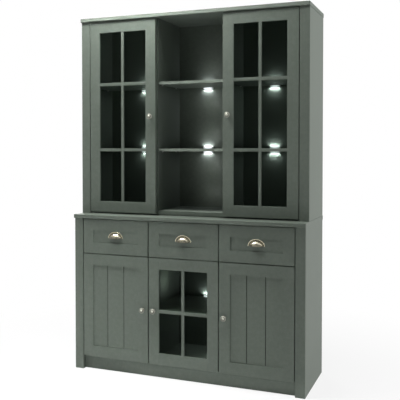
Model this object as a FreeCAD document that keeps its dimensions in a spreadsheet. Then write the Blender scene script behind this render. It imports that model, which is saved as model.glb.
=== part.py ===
import FreeCAD, Part
import os
import Sketcher

# Hutch in two units: a base with three drawers over three doors, and an upper
# unit with two tall glazed doors beside an open bay. Millimetres, Z up, front to -Y.
doc = FreeCAD.newDocument("hutch")
sheet = doc.addObject("Spreadsheet::Sheet", "sizes")

# Driving sizes
SIZES = [
    ("carcass_width", 1336), ("total_height", 2010), ("worktop_height", 886),
    ("base_depth", 434), ("upper_depth", 352), ("top_thick", 22),
    ("side_overhang", 2), ("front_overhang", 9), ("top_round", 3),
    ("board_thick", 16), ("stile_width", 52),
    ("edge_round", 1.2), ("front_thick", 20), ("front_setback", 6), ("front_gap", 3.5),
    ("door_foot", 78), ("floor_top", 80), ("drawer_front_height", 194),
    ("upper_door_foot", 9), ("upper_floor_lift", 4), ("upper_floor_thick", 22),
    ("bay_width", 386), ("bay_reveal", 4.5), ("back_thick", 3), ("back_inset", 15),
    ("back_groove", 6), ("frame_width", 62), ("recess_depth", 6), ("recess_slope", 0.8),
    ("groove_width", 3.5), ("groove_depth", 4), ("groove_step", 51),
    ("muntin_width", 17), ("muntin_setback", 1),
    ("muntin_offset", 187), ("glass_thick", 4), ("glass_depth", 8), ("rebate_width", 8),
    ("glass_play", 1), ("shelf_play", 0.5), ("shelf_setback", 8), ("shelf_rear_gap", 16),
    ("pin_radius", 2.5), ("pin_bite", 8), ("pin_reach", 7), ("pin_fit", 0.1),
    ("pin_inset", 45), ("rail_depth", 60), ("cup_radius", 17.5), ("cup_depth", 13.5),
    ("cup_wall", 0.8), ("cup_edge", 4.5), ("cup_flange", 1.2), ("cup_rim", 1.5),
    ("cup_wing", 56), ("cup_fit", 0.1), ("hinge_pin", 1.2), ("hinge_play", 0.3),
    ("hinge_pin_edge", 12.5), ("knuckle_wall", 1), ("arm_thick", 2.2), ("arm_width", 14),
    ("arm_leg", 27.3), ("arm_clear", 1.2), ("plate_length", 46), ("plate_height", 44),
    ("block_depth", 58), ("block_height", 72), ("hinge_inset", 95), ("drawer_lift", 24),
    ("drawer_side_height", 116), ("drawer_side_thick", 12), ("drawer_length", 352),
    ("drawer_bottom_thick", 4), ("drawer_groove", 6), ("drawer_bottom_up", 10),
    ("bottom_play", 0.1), ("runner_space", 13), ("runner_thick", 1.2), ("runner_height", 26),
    ("runner_flange", 9), ("runner_foot", 10), ("runner_play", 0.3), ("runner_leg", 14),
    ("runner_length", 346), ("runner_front", 3), ("knob_reach", 27), ("knob_radius", 15),
    ("knob_head", 8), ("knob_neck", 6), ("knob_base", 10), ("knob_base_thick", 3),
    ("pull_width", 80), ("pull_height", 31), ("pull_reach", 25), ("pull_wall", 2),
    ("pull_flange", 6), ("pull_flange_thick", 2.5), ("pull_drop", 6.5),
    ("light_width", 60), ("light_jaw", 9),
    ("light_depth", 13), ("light_web", 4), ("light_fit", 0.1), ("lens_margin", 4),
    ("lens_thick", 1.5), ("lens_height", 6),
]
for row, (name, value) in enumerate(SIZES, start=1):
    sheet.set(f"A{row}", name)
    sheet.set(f"B{row}", str(value))
    sheet.setAlias(f"B{row}", name)
doc.recompute()


def size(name):
    """Expression for one driving size."""
    return f"sizes.{name}"


def value(name):
    """Number held by one driving size."""
    return float(sheet.get(name))


def neg(text):
    return f"-({text})"


# Planes that several pieces share, as expressions
T = size("board_thick")
GAP = size("front_gap")
HALF = f"({size('carcass_width')} / 2)"
INNER = f"({HALF} - {T})"
STILE_IN = f"({HALF} - {size('stile_width')})"
REAR = f"(({size('base_depth')} + {size('knob_reach')}) / 2)"
BACK_REAR = f"({REAR} - {size('back_inset')})"
BACK_FRONT = f"({BACK_REAR} - {size('back_thick')})"
BASE_FRONT = f"({REAR} - {size('base_depth')})"
UPPER_FRONT = f"({REAR} - {size('upper_depth')})"
LEAF = size("front_thick")
BASE_EDGE = f"({BASE_FRONT} + {LEAF} + {size('front_setback')})"
UPPER_EDGE = f"({UPPER_FRONT} + {LEAF} + {size('front_setback')})"
TOP_UNDER = f"({size('worktop_height')} - {size('top_thick')})"
CORNICE_UNDER = f"({size('total_height')} - {size('top_thick')})"
FLOOR_TOP = size("floor_top")
FRONT_WIDTH = f"((2 * {STILE_IN} - 4 * {GAP}) / 3)"
PITCH = f"({FRONT_WIDTH} + {GAP})"
DRAWER_TOP = f"({TOP_UNDER} - {GAP})"
DRAWER_FOOT = f"({DRAWER_TOP} - {size('drawer_front_height')})"
DOOR_TOP = f"({DRAWER_FOOT} - {GAP})"
DOOR_FOOT = size("door_foot")
DOOR_MID = f"(({DOOR_TOP} + {DOOR_FOOT}) / 2)"
UPPER_DOOR_FOOT = f"({size('worktop_height')} + {size('upper_door_foot')})"
UPPER_DOOR_TOP = f"({CORNICE_UNDER} - {GAP})"
UPPER_DOOR_MID = f"(({UPPER_DOOR_FOOT} + {UPPER_DOOR_TOP}) / 2)"
UPPER_OUTER = f"({STILE_IN} - {GAP})"
BAY = f"({size('bay_width')} / 2)"
UPPER_INNER = f"({BAY} + {size('bay_reveal')})"
UPPER_FLOOR = f"({size('worktop_height')} + {size('upper_floor_lift')})"
UPPER_FLOOR_TOP = f"({UPPER_FLOOR} + {size('upper_floor_thick')})"
DIVIDER_IN = f"({PITCH} / 2 - {T} / 2)"
DIVIDER_OUT = f"({PITCH} / 2 + {T} / 2)"
UPPER_SIDE_MID = f"(({UPPER_OUTER} + {UPPER_INNER}) / 2)"
SHELF_REAR = f"({BACK_FRONT} - {size('shelf_rear_gap')})"

NODES = []


def node(label, item):
    """Give an object the label of its node and list it for export."""
    item.Label = label
    NODES.append(item)
    return item


def place(item, x, y, z):
    item.setExpression("Placement.Base.x", x)
    item.setExpression("Placement.Base.y", y)
    item.setExpression("Placement.Base.z", z)


def box(name, x, y, z):
    """A block from three (from, to) pairs of expressions."""
    item = doc.addObject("Part::Box", name)
    item.setExpression("Length", f"({x[1]}) - ({x[0]})")
    item.setExpression("Width", f"({y[1]}) - ({y[0]})")
    item.setExpression("Height", f"({z[1]}) - ({z[0]})")
    place(item, x[0], y[0], z[0])
    return item


def rod(name, radius, length, x, y, z, axis="z"):
    """A cylinder that starts at x, y, z and runs along one axis."""
    item = doc.addObject("Part::Cylinder", name)
    item.setExpression("Radius", radius)
    item.setExpression("Height", length)
    turns = {
        "z": FreeCAD.Rotation(),
        "x": FreeCAD.Rotation(FreeCAD.Vector(0, 1, 0), 90),
        "-x": FreeCAD.Rotation(FreeCAD.Vector(0, 1, 0), -90),
        "-y": FreeCAD.Rotation(FreeCAD.Vector(1, 0, 0), 90),
        "y": FreeCAD.Rotation(FreeCAD.Vector(1, 0, 0), -90),
    }
    item.Placement = FreeCAD.Placement(FreeCAD.Vector(), turns[axis])
    place(item, x, y, z)
    return item


def globe(name, radii, x, y, z):
    """An ellipsoid with its own radius along X, Y and Z."""
    item = doc.addObject("Part::Ellipsoid", name)
    item.setExpression("Radius2", radii[0])
    item.setExpression("Radius3", radii[1])
    item.setExpression("Radius1", radii[2])
    item.Angle1 = -90
    item.Angle2 = 90
    item.Angle3 = 360
    place(item, x, y, z)
    return item


def cut(name, base, tool):
    item = doc.addObject("Part::Cut", name)
    item.Base = base
    item.Tool = tool
    return item


def fuse(name, items):
    item = doc.addObject("Part::MultiFuse", name)
    item.Shapes = items
    return item


def common(name, first, second):
    item = doc.addObject("Part::Common", name)
    item.Base = first
    item.Tool = second
    return item


def group(name, items):
    item = doc.addObject("Part::Compound", name)
    item.Links = items
    return item


def rounded(name, base, radius_name, choose):
    """Round the edges of a block that the test picks by direction and middle."""
    doc.recompute()
    radius = value(radius_name)
    picked = []
    bounds = base.Shape.BoundBox
    for number, edge in enumerate(base.Shape.Edges, start=1):
        along = edge.Vertexes[1].Point - edge.Vertexes[0].Point
        if choose(along, edge.CenterOfMass, bounds):
            picked.append((number, radius, radius))
    item = doc.addObject("Part::Fillet", name)
    item.Base = base
    item.Edges = picked
    return item


def upright(along, middle, bounds):
    return abs(along.z) > 1


def upright_front(along, middle, bounds):
    return abs(along.z) > 1 and middle.y < bounds.Center.y


# Shelf pins and the holes they sit in
pins = []
pin_holes = []


def shelf_pins(name, x_low, x_high, y_low, y_high, shelf_under):
    """Four pins under one shelf: a stud in the wall and a flat pad beneath the shelf."""
    radius = size("pin_radius")
    drop = f"({shelf_under} - {radius})"
    rows = ((f"({y_low} + {size('pin_inset')})", "front"),
            (f"({y_high} - {size('pin_inset')})", "rear"))
    for y, where in rows:
        for wall, sign in ((x_low, 1), (x_high, -1)):
            side = "left" if sign > 0 else "right"
            tag = f"{name}_{where}_{side}"
            start = f"({wall} - {sign} * {size('pin_bite')})"
            axis = "x" if sign > 0 else "-x"
            stud = rod(f"stud_{tag}", radius, f"{size('pin_bite')} + {size('pin_reach')}",
                       start, y, drop, axis)
            hole = rod(f"hole_{tag}", f"{radius} + {size('pin_fit')}",
                       f"{size('pin_bite')} + 1", start, y, drop, axis)
            far = f"({wall} + {sign} * {size('pin_reach')})"
            x = (wall, far) if sign > 0 else (far, wall)
            pad = box(f"pad_{tag}", x, (f"{y} - {radius}", f"{y} + {radius}"),
                      (drop, shelf_under))
            pins.append(fuse(f"pin_{tag}", [stud, pad]))
            pin_holes.append(hole)


# Shelves
def shelf(name, x_low, x_high, edge, middle):
    play = size("shelf_play")
    under = f"({middle} - {T} / 2)"
    y = (f"{edge} + {size('shelf_setback')}", SHELF_REAR)
    shelf_pins(name, x_low, x_high, f"({y[0]})", SHELF_REAR, under)
    return box(f"shelf_{name}", (f"{x_low} + {play}", f"{x_high} - {play}"), y,
               (under, f"{middle} + {T} / 2"))


BAYS_BASE = [("left", neg(INNER), neg(DIVIDER_OUT)),
             ("center", neg(DIVIDER_IN), DIVIDER_IN),
             ("right", DIVIDER_OUT, INNER)]
BAYS_UPPER = [("left", neg(INNER), neg(f"{BAY} + {T}")),
              ("center", neg(BAY), BAY),
              ("right", f"({BAY} + {T})", INNER)]
LEVELS = [("low", f"({UPPER_DOOR_MID} - {size('muntin_offset')})"),
          ("high", f"({UPPER_DOOR_MID} + {size('muntin_offset')})")]

base_shelves = []
for name, low, high in BAYS_BASE:
    base_shelves.append(shelf(f"base_{name}", f"({low})", f"({high})", BASE_EDGE, DOOR_MID))
upper_shelves = []
for name, low, high in BAYS_UPPER:
    for level, middle in LEVELS:
        upper_shelves.append(
            shelf(f"upper_{name}_{level}", f"({low})", f"({high})", UPPER_EDGE, middle))
node("base_shelves", group("base_shelf_group", base_shelves))
node("upper_shelves", group("upper_shelf_group", upper_shelves))
node("shelf_pins", group("pin_group", pins))
pin_hole_group = group("pin_hole_group", pin_holes)


# Carcass boards
def drilled(label, board):
    return node(label, cut(f"{label}_drilled", board, pin_hole_group))


GROOVE = size("back_groove")
for unit, edge, z in (("base", BASE_EDGE, ("0", TOP_UNDER)),
                      ("upper", UPPER_EDGE, (size("worktop_height"), CORNICE_UNDER))):
    for side, x, groove in (
            ("left", (neg(HALF), neg(INNER)), (f"-{INNER} - {GROOVE}", neg(INNER))),
            ("right", (INNER, HALF), (INNER, f"{INNER} + {GROOVE}"))):
        board = box(f"{unit}_{side}_side_board", x, (edge, REAR), z)
        slot = box(f"{unit}_{side}_side_slot", groove, (BACK_FRONT, BACK_REAR), z)
        drilled(f"{unit}_{side}_side", cut(f"{unit}_{side}_side_grooved", board, slot))

for side, x in (("left", (neg(DIVIDER_OUT), neg(DIVIDER_IN))), ("right", (DIVIDER_IN, DIVIDER_OUT))):
    drilled(f"base_{side}_divider",
            box(f"base_{side}_divider_board", x, (BASE_EDGE, BACK_FRONT), (FLOOR_TOP, TOP_UNDER)))
for side, x in (("left", (f"-{BAY} - {T}", neg(BAY))), ("right", (BAY, f"{BAY} + {T}"))):
    drilled(f"upper_{side}_divider",
            box(f"upper_{side}_divider_board", x, (UPPER_EDGE, BACK_FRONT),
                (UPPER_FLOOR_TOP, CORNICE_UNDER)))

BETWEEN = (neg(INNER), INNER)
node("base_floor", box("base_floor_board", BETWEEN, (BASE_EDGE, BACK_FRONT),
                       (f"{FLOOR_TOP} - {T}", FLOOR_TOP)))
node("plinth", box("plinth_board", BETWEEN, (BASE_EDGE, f"{BASE_EDGE} + {T}"),
                   ("0", f"{FLOOR_TOP} - {T}")))
node("upper_floor", box("upper_floor_board", BETWEEN, (UPPER_EDGE, BACK_FRONT),
                        (UPPER_FLOOR, UPPER_FLOOR_TOP)))
WIDE = (f"-{INNER} - {GROOVE}", f"{INNER} + {GROOVE}")
node("base_back", box("base_back_sheet", WIDE, (BACK_FRONT, BACK_REAR),
                      (f"{FLOOR_TOP} - {T}", TOP_UNDER)))
node("upper_back", box("upper_back_sheet", WIDE, (BACK_FRONT, BACK_REAR),
                       (size("worktop_height"), CORNICE_UNDER)))

for unit, y, z in (("base", (BASE_FRONT, BASE_EDGE), ("0", TOP_UNDER)),
                   ("upper", (UPPER_FRONT, UPPER_EDGE), (size("worktop_height"), CORNICE_UNDER))):
    posts = []
    for side, x in (("left", (neg(HALF), neg(STILE_IN))), ("right", (STILE_IN, HALF))):
        post = box(f"{unit}_{side}_post", x, y, z)
        posts.append(rounded(f"{unit}_{side}_stile", post, "edge_round", upright_front))
    node(f"{unit}_stiles", group(f"{unit}_stile_group", posts))


# Worktop and cornice: one board each, with eased edges
def plane_of(body, role):
    for feature in body.Origin.OriginFeatures:
        if feature.Role == role:
            return feature
    raise RuntimeError(role)


def top_board(label, front, top):
    """A padded board with its front edges and upper side edges eased."""
    body = doc.addObject("PartDesign::Body", label + "_body")
    outline = body.newObject("Sketcher::SketchObject", label + "_outline")
    outline.AttachmentSupport = [(plane_of(body, "XY_Plane"), "")]
    outline.MapMode = "FlatFace"
    corners = [FreeCAD.Vector(-10, -10, 0), FreeCAD.Vector(10, -10, 0),
               FreeCAD.Vector(10, 10, 0), FreeCAD.Vector(-10, 10, 0)]
    for index in range(4):
        outline.addGeometry(Part.LineSegment(corners[index], corners[(index + 1) % 4]), False)
    for index in range(4):
        outline.addConstraint(Sketcher.Constraint("Coincident", index, 2, (index + 1) % 4, 1))
    outline.addConstraint(Sketcher.Constraint("Horizontal", 2))
    outline.addConstraint(Sketcher.Constraint("Vertical", 1))
    outline.addConstraint(Sketcher.Constraint("Vertical", 3))
    outline.addConstraint(Sketcher.Constraint("Symmetric", 0, 1, 0, 2, -2))
    for title, text, rule in (
            ("across", f"2 * ({HALF} + {size('side_overhang')})",
             Sketcher.Constraint("DistanceX", 0, 1, 0, 2, 20)),
            ("deep", f"{REAR} - {front} + {size('front_overhang')}",
             Sketcher.Constraint("DistanceY", 1, 1, 1, 2, 20)),
            ("rear", REAR, Sketcher.Constraint("DistanceY", -1, 1, 2, 1, 10))):
        number = outline.addConstraint(rule)
        outline.renameConstraint(number, title)
        outline.setExpression("Constraints." + title, text)
    pad = body.newObject("PartDesign::Pad", label + "_pad")
    pad.Profile = outline
    pad.setExpression("Length", size("top_thick"))
    doc.recompute()
    box_of = pad.Shape.BoundBox
    eased = []
    for number, edge in enumerate(pad.Shape.Edges, start=1):
        middle = edge.CenterOfMass
        at_front = abs(middle.y - box_of.YMin) < 0.01
        at_side = abs(abs(middle.x) - box_of.XMax) < 0.01
        at_top = abs(middle.z - box_of.ZMax) < 0.01
        if at_top and (at_front or at_side):
            eased.append(f"Edge{number}")
    last = body.newObject("PartDesign::Fillet", label + "_eased")
    last.Base = (pad, eased)
    last.setExpression("Radius", size("top_round"))
    doc.recompute()
    box_of = last.Shape.BoundBox
    lower = []
    for number, edge in enumerate(last.Shape.Edges, start=1):
        middle = edge.CenterOfMass
        if abs(middle.y - box_of.YMin) < 0.01 and abs(middle.z - box_of.ZMin) < 0.01:
            lower.append(f"Edge{number}")
    finish = body.newObject("PartDesign::Fillet", label + "_under")
    finish.Base = (last, lower)
    finish.setExpression("Radius", size("top_round"))
    place(body, "0", "0", top)
    return node(label, body)


top_board("worktop", BASE_FRONT, TOP_UNDER)
top_board("cornice", UPPER_FRONT, CORNICE_UNDER)

# Cross rails behind the line between drawers and doors
rails = []
RAIL_MID = f"({DRAWER_FOOT} - {GAP} / 2)"
for name, low, high in BAYS_BASE:
    rails.append(box(f"rail_{name}", (low, high), (BASE_EDGE, f"{BASE_EDGE} + {size('rail_depth')}"),
                     (f"{RAIL_MID} - {T} / 2", f"{RAIL_MID} + {T} / 2")))
node("drawer_rails", group("rail_group", rails))

# Hinges: a cup with its pin in the door, a hooked arm on the carcass that turns on the pin
arms = []
blocks = []
PIN_DEEP = (f"({LEAF} - {size('cup_depth')} + {size('cup_wall')} + {size('hinge_play')} + "
            f"{size('hinge_pin')} + {size('hinge_play')} + {size('knuckle_wall')})")
PIN_IN = size("hinge_pin_edge")
ARM = size("arm_thick")
CUP_IN = f"({size('cup_edge')} + {size('cup_radius')})"


def span(edge, sign, low, high):
    """A range measured from a hinge edge towards the middle of the door."""
    if sign > 0:
        return (f"{edge} + ({low})", f"{edge} + ({high})")
    return (f"{edge} - ({high})", f"{edge} - ({low})")


def hinge(tag, edge, sign, front, level, seat):
    """Build one hinge; return the hole for the cup and the cup itself."""
    def at(inward):
        return f"{edge} + ({sign}) * ({inward})"
    floor_y = f"({front} + {LEAF} - {size('cup_depth')})"
    back_y = f"({front} + {LEAF})"
    pin_y = f"({front} + {PIN_DEEP})"
    hole = rod(f"{tag}_hole", f"{size('cup_radius')} + {size('cup_fit')}",
               f"{size('cup_depth')} + 1", at(CUP_IN), floor_y, level, "y")
    pot = rod(f"{tag}_pot", size("cup_radius"), size("cup_depth"), at(CUP_IN), floor_y, level, "y")
    rim = rod(f"{tag}_rim", f"{size('cup_radius')} + {size('cup_rim')}", size("cup_flange"),
              at(CUP_IN), back_y, level, "y")
    wing = box(f"{tag}_wing", span(edge, sign, f"{CUP_IN} - {size('cup_radius')} / 2",
                                   f"{CUP_IN} + {size('cup_radius')} / 2"),
               (back_y, f"{back_y} + {size('cup_flange')}"),
               (f"{level} - {size('cup_wing')} / 2", f"{level} + {size('cup_wing')} / 2"))
    hollow = rod(f"{tag}_hollow", f"{size('cup_radius')} - {size('cup_wall')}",
                 f"{size('cup_depth')} + {size('cup_flange')} + 1", at(CUP_IN),
                 f"{floor_y} + {size('cup_wall')}", level, "y")
    shell = cut(f"{tag}_shell", fuse(f"{tag}_solid", [pot, rim, wing]), hollow)
    reach = (f"sqrt(({size('cup_radius')} - {size('cup_wall')} / 2) ^ 2 - "
             f"({CUP_IN} - {PIN_IN} + {size('hinge_pin')}) ^ 2)")
    pin = rod(f"{tag}_pin", size("hinge_pin"), f"2 * {reach}", at(PIN_IN), pin_y,
              f"{level} - {reach}")
    cup = fuse(f"{tag}_cup", [shell, pin])
    half = f"{size('arm_width')} / 2"
    z = (f"{level} - {half}", f"{level} + {half}")
    knuckle_r = f"({size('hinge_pin')} + {size('hinge_play')} + {size('knuckle_wall')})"
    knuckle = rod(f"{tag}_knuckle", knuckle_r, size("arm_width"), at(PIN_IN), pin_y,
                  f"{level} - {half}")
    bore = rod(f"{tag}_bore", f"{size('hinge_pin')} + {size('hinge_play')}",
               f"{size('arm_width')} + 2", at(PIN_IN), pin_y, f"{level} - {half} - 1")
    low_y = f"({pin_y} - {knuckle_r})"
    run_y = f"({front} + {LEAF} + {size('front_setback')} + {size('arm_clear')})"
    leg = (size("arm_leg"), f"{size('arm_leg')} + {ARM}")
    strap = box(f"{tag}_strap", span(edge, sign, PIN_IN, leg[1]), (low_y, f"{low_y} + {ARM}"), z)
    riser = box(f"{tag}_riser", span(edge, sign, leg[0], leg[1]), (low_y, f"{run_y} + {ARM}"), z)
    run = box(f"{tag}_run", span(edge, sign, seat, leg[1]), (run_y, f"{run_y} + {ARM}"), z)
    plate = box(f"{tag}_plate", span(edge, sign, seat, f"{seat} + {ARM}"),
                (run_y, f"{run_y} + {size('plate_length')}"),
                (f"{level} - {size('plate_height')} / 2", f"{level} + {size('plate_height')} / 2"))
    hook = fuse(f"{tag}_hook", [knuckle, strap, riser, run, plate])
    arms.append(cut(f"{tag}_arm", hook, bore))
    return hole, cup


def packing(tag, sign, edge_y, level):
    """Block between a side and the hinge plate, behind the wide stile."""
    x = (STILE_IN, INNER) if sign > 0 else (neg(INNER), neg(STILE_IN))
    half = f"{size('block_height')} / 2"
    blocks.append(box(f"{tag}_block", x, (edge_y, f"{edge_y} + {size('block_depth')}"),
                      (f"{level} - {half}", f"{level} + {half}")))


def knob(label, x, front, z):
    """A turned knob: base ring, neck and flattened head."""
    ring = rod(f"{label}_ring", size("knob_base"), size("knob_base_thick"), x, front, z, "-y")
    neck = rod(f"{label}_neck", size("knob_neck"),
               f"{size('knob_reach')} - {size('knob_head')}", x, front, z, "-y")
    head = globe(f"{label}_head", (size("knob_radius"), size("knob_head"), size("knob_radius")),
                 x, f"{front} - {size('knob_reach')} + {size('knob_head')}", z)
    return node(label, fuse(f"{label}_turned", [ring, neck, head]))


def hinge_set(label, edge, sign, front, levels, seat, edge_y, packed):
    """All hinges of one door: returns the group of cup holes."""
    holes = []
    cups = []
    for number, level in enumerate(levels, start=1):
        hole, cup = hinge(f"{label}_hinge_{number}", edge, sign, front, f"({level})", seat)
        holes.append(hole)
        cups.append(cup)
        if packed:
            packing(f"{label}_hinge_{number}", -sign, edge_y, f"({level})")
    node(f"{label}_hinge_cups", group(f"{label}_cup_group", cups))
    return group(f"{label}_cup_holes", holes)


def glazed_door(label, x, z, front, bars, holes):
    """Frame of stiles and rails with glazing bars, a pane in the rebate and beads behind it."""
    frame = size("frame_width")
    y = (front, f"{front} + {LEAF}")
    open_x = (f"({x[0]} + {frame})", f"({x[1]} - {frame})")
    open_z = (f"({z[0]} + {frame})", f"({z[1]} - {frame})")
    rebate = size("rebate_width")
    pane_y = f"({front} + {size('glass_depth')})"
    slot = box(f"{label}_rebate", (f"{open_x[0]} - {rebate}", f"{open_x[1]} + {rebate}"),
               (pane_y, y[1]), (f"{open_z[0]} - {rebate}", f"{open_z[1]} + {rebate}"))
    pieces = []
    for name, across in (("left", (x[0], open_x[0])), ("right", (open_x[1], x[1]))):
        outer = (lambda along, middle, bounds, left=(name == "left"):
                 abs(along.z) > 1 and (middle.x < bounds.Center.x) == left)
        post = rounded(f"{label}_{name}_stile", box(f"{label}_{name}_blank", across, y, z),
                       "edge_round", outer)
        pieces.append(cut(f"{label}_{name}_drilled",
                          cut(f"{label}_{name}_rebated", post, slot), holes))
    for name, up in (("foot", (z[0], open_z[0])), ("head", (open_z[1], z[1]))):
        pieces.append(cut(f"{label}_{name}_rail", box(f"{label}_{name}_blank", open_x, y, up), slot))
    bar = f"{size('muntin_width')} / 2"
    bar_y = (f"{front} + {size('muntin_setback')}", pane_y)
    mid = f"(({x[0]} + {x[1]}) / 2)"
    pieces.append(box(f"{label}_upright_bar", (f"{mid} - {bar}", f"{mid} + {bar}"), bar_y, open_z))
    for number, level in enumerate(bars, start=1):
        up = (f"{level} - {bar}", f"{level} + {bar}")
        pieces.append(box(f"{label}_bar_{number}_left", (open_x[0], f"{mid} - {bar}"), bar_y, up))
        pieces.append(box(f"{label}_bar_{number}_right", (f"{mid} + {bar}", open_x[1]), bar_y, up))
    node(f"{label}_frame", group(f"{label}_frame_group", pieces))
    inset = f"({rebate} - {size('glass_play')})"
    pane_z = (f"{open_z[0]} - {inset}", f"{open_z[1]} + {inset}")
    node(f"{label}_glass", box(f"{label}_pane", (f"{open_x[0]} - {inset}", f"{open_x[1]} + {inset}"),
                               (pane_y, f"{pane_y} + {size('glass_thick')}"), pane_z))
    bead_y = (f"{pane_y} + {size('glass_thick')}", y[1])
    beads = [
        box(f"{label}_bead_left", (f"{open_x[0]} - {rebate}", open_x[0]), bead_y,
            (f"{open_z[0]} - {rebate}", f"{open_z[1]} + {rebate}")),
        box(f"{label}_bead_right", (open_x[1], f"{open_x[1]} + {rebate}"), bead_y,
            (f"{open_z[0]} - {rebate}", f"{open_z[1]} + {rebate}")),
        box(f"{label}_bead_foot", open_x, bead_y, (f"{open_z[0]} - {rebate}", open_z[0])),
        box(f"{label}_bead_head", open_x, bead_y, (open_z[1], f"{open_z[1]} + {rebate}")),
    ]
    node(f"{label}_beads", group(f"{label}_bead_group", beads))


def recessed_front(name, x, z, front, grooves):
    """One thick leaf with rounded upright edges, a sunk field with steep sides and square grooves."""
    leaf = rounded(f"{name}_eased", box(f"{name}_blank", x, (front, f"{front} + {LEAF}"), z),
                   "edge_round", upright)
    frame = size("frame_width")
    slope = size("recess_slope")
    field = doc.addObject("Part::Wedge", f"{name}_field")
    field.setExpression("Xmin", "0")
    field.setExpression("Xmax", f"{x[1]} - ({x[0]}) - 2 * {frame}")
    field.setExpression("Zmin", "0")
    field.setExpression("Zmax", f"{z[1]} - ({z[0]}) - 2 * {frame}")
    field.setExpression("Ymin", "0")
    field.setExpression("Ymax", size("recess_depth"))
    field.setExpression("X2min", slope)
    field.setExpression("X2max", f"{x[1]} - ({x[0]}) - 2 * {frame} - {slope}")
    field.setExpression("Z2min", slope)
    field.setExpression("Z2max", f"{z[1]} - ({z[0]}) - 2 * {frame} - {slope}")
    place(field, f"{x[0]} + {frame}", front, f"{z[0]} + {frame}")
    item = cut(f"{name}_sunk", leaf, field)
    if not grooves:
        return item
    lines = []
    wide = size("groove_width")
    for side, sign in (("left", -1), ("right", 1)):
        middle = f"(({x[0]} + {x[1]}) / 2 + ({sign}) * {size('groove_step')})"
        sunk = f"({front} + {size('recess_depth')})"
        line = box(f"{name}_{side}_groove", (f"{middle} - {wide} / 2", f"{middle} + {wide} / 2"),
                   (f"{sunk} - {slope}", f"{sunk} + {size('groove_depth')}"),
                   (f"{z[0]} + {frame} + {slope}", f"{z[1]} - {frame} - {slope}"))
        lines.append(line)
    return cut(f"{name}_grooved", item, group(f"{name}_groove_group", lines))


# Doors
BASE_LEVELS = [f"{DOOR_FOOT} + {size('hinge_inset')}", f"{DOOR_TOP} - {size('hinge_inset')}"]
UPPER_LEVELS = [f"{UPPER_DOOR_FOOT} + {size('hinge_inset')}", UPPER_DOOR_MID,
                f"{UPPER_DOOR_TOP} - {size('hinge_inset')}"]
ON_STILE = f"(-{GAP})"
ON_DIVIDER = f"({FRONT_WIDTH} / 2 - {DIVIDER_IN})"
KNOB_IN = f"({size('frame_width')} / 2)"

for side, sign in (("left", 1), ("right", -1)):
    label = f"upper_{side}_door"
    edge = f"({-sign} * {UPPER_OUTER})"
    x = (neg(UPPER_OUTER), neg(UPPER_INNER)) if sign > 0 else (UPPER_INNER, UPPER_OUTER)
    holes = hinge_set(label, edge, sign, UPPER_FRONT, UPPER_LEVELS, ON_STILE, UPPER_EDGE, True)
    glazed_door(label, x, (UPPER_DOOR_FOOT, UPPER_DOOR_TOP), UPPER_FRONT,
                [LEVELS[0][1], LEVELS[1][1]], holes)
    knob(f"{label}_knob", f"({-sign} * ({UPPER_INNER} + {KNOB_IN}))", UPPER_FRONT, UPPER_DOOR_MID)

for side, sign in (("left", 1), ("right", -1)):
    label = f"base_{side}_door"
    edge = f"({-sign} * {UPPER_OUTER})"
    low = f"({UPPER_OUTER} - {FRONT_WIDTH})"
    x = (neg(UPPER_OUTER), neg(low)) if sign > 0 else (low, UPPER_OUTER)
    holes = hinge_set(label, edge, sign, BASE_FRONT, BASE_LEVELS, ON_STILE, BASE_EDGE, True)
    leaf = recessed_front(label, x, (DOOR_FOOT, DOOR_TOP), BASE_FRONT, True)
    node(f"{label}_leaf", cut(f"{label}_drilled", leaf, holes))
    knob(f"{label}_knob", f"({-sign} * ({low} + {KNOB_IN}))", BASE_FRONT, DOOR_MID)

HALF_FRONT = f"({FRONT_WIDTH} / 2)"
holes = hinge_set("base_center_door", HALF_FRONT, -1, BASE_FRONT, BASE_LEVELS, ON_DIVIDER,
                  BASE_EDGE, False)
glazed_door("base_center_door", (neg(HALF_FRONT), HALF_FRONT), (DOOR_FOOT, DOOR_TOP), BASE_FRONT,
            [DOOR_MID], holes)
knob("base_center_door_knob", f"(-{HALF_FRONT} + {KNOB_IN})", BASE_FRONT, DOOR_MID)

# Drawers, their pulls and runners
channels = []
BOX_HALF = f"({DIVIDER_IN} - {size('runner_space')})"
SIDE = size("drawer_side_thick")
BOX_FOOT = f"({DRAWER_FOOT} + {size('drawer_lift')})"
BOX_FRONT = f"({BASE_FRONT} + {LEAF})"
BOX_REAR = f"({BOX_FRONT} + {size('drawer_length')})"
SHEET = size("runner_thick")


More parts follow.
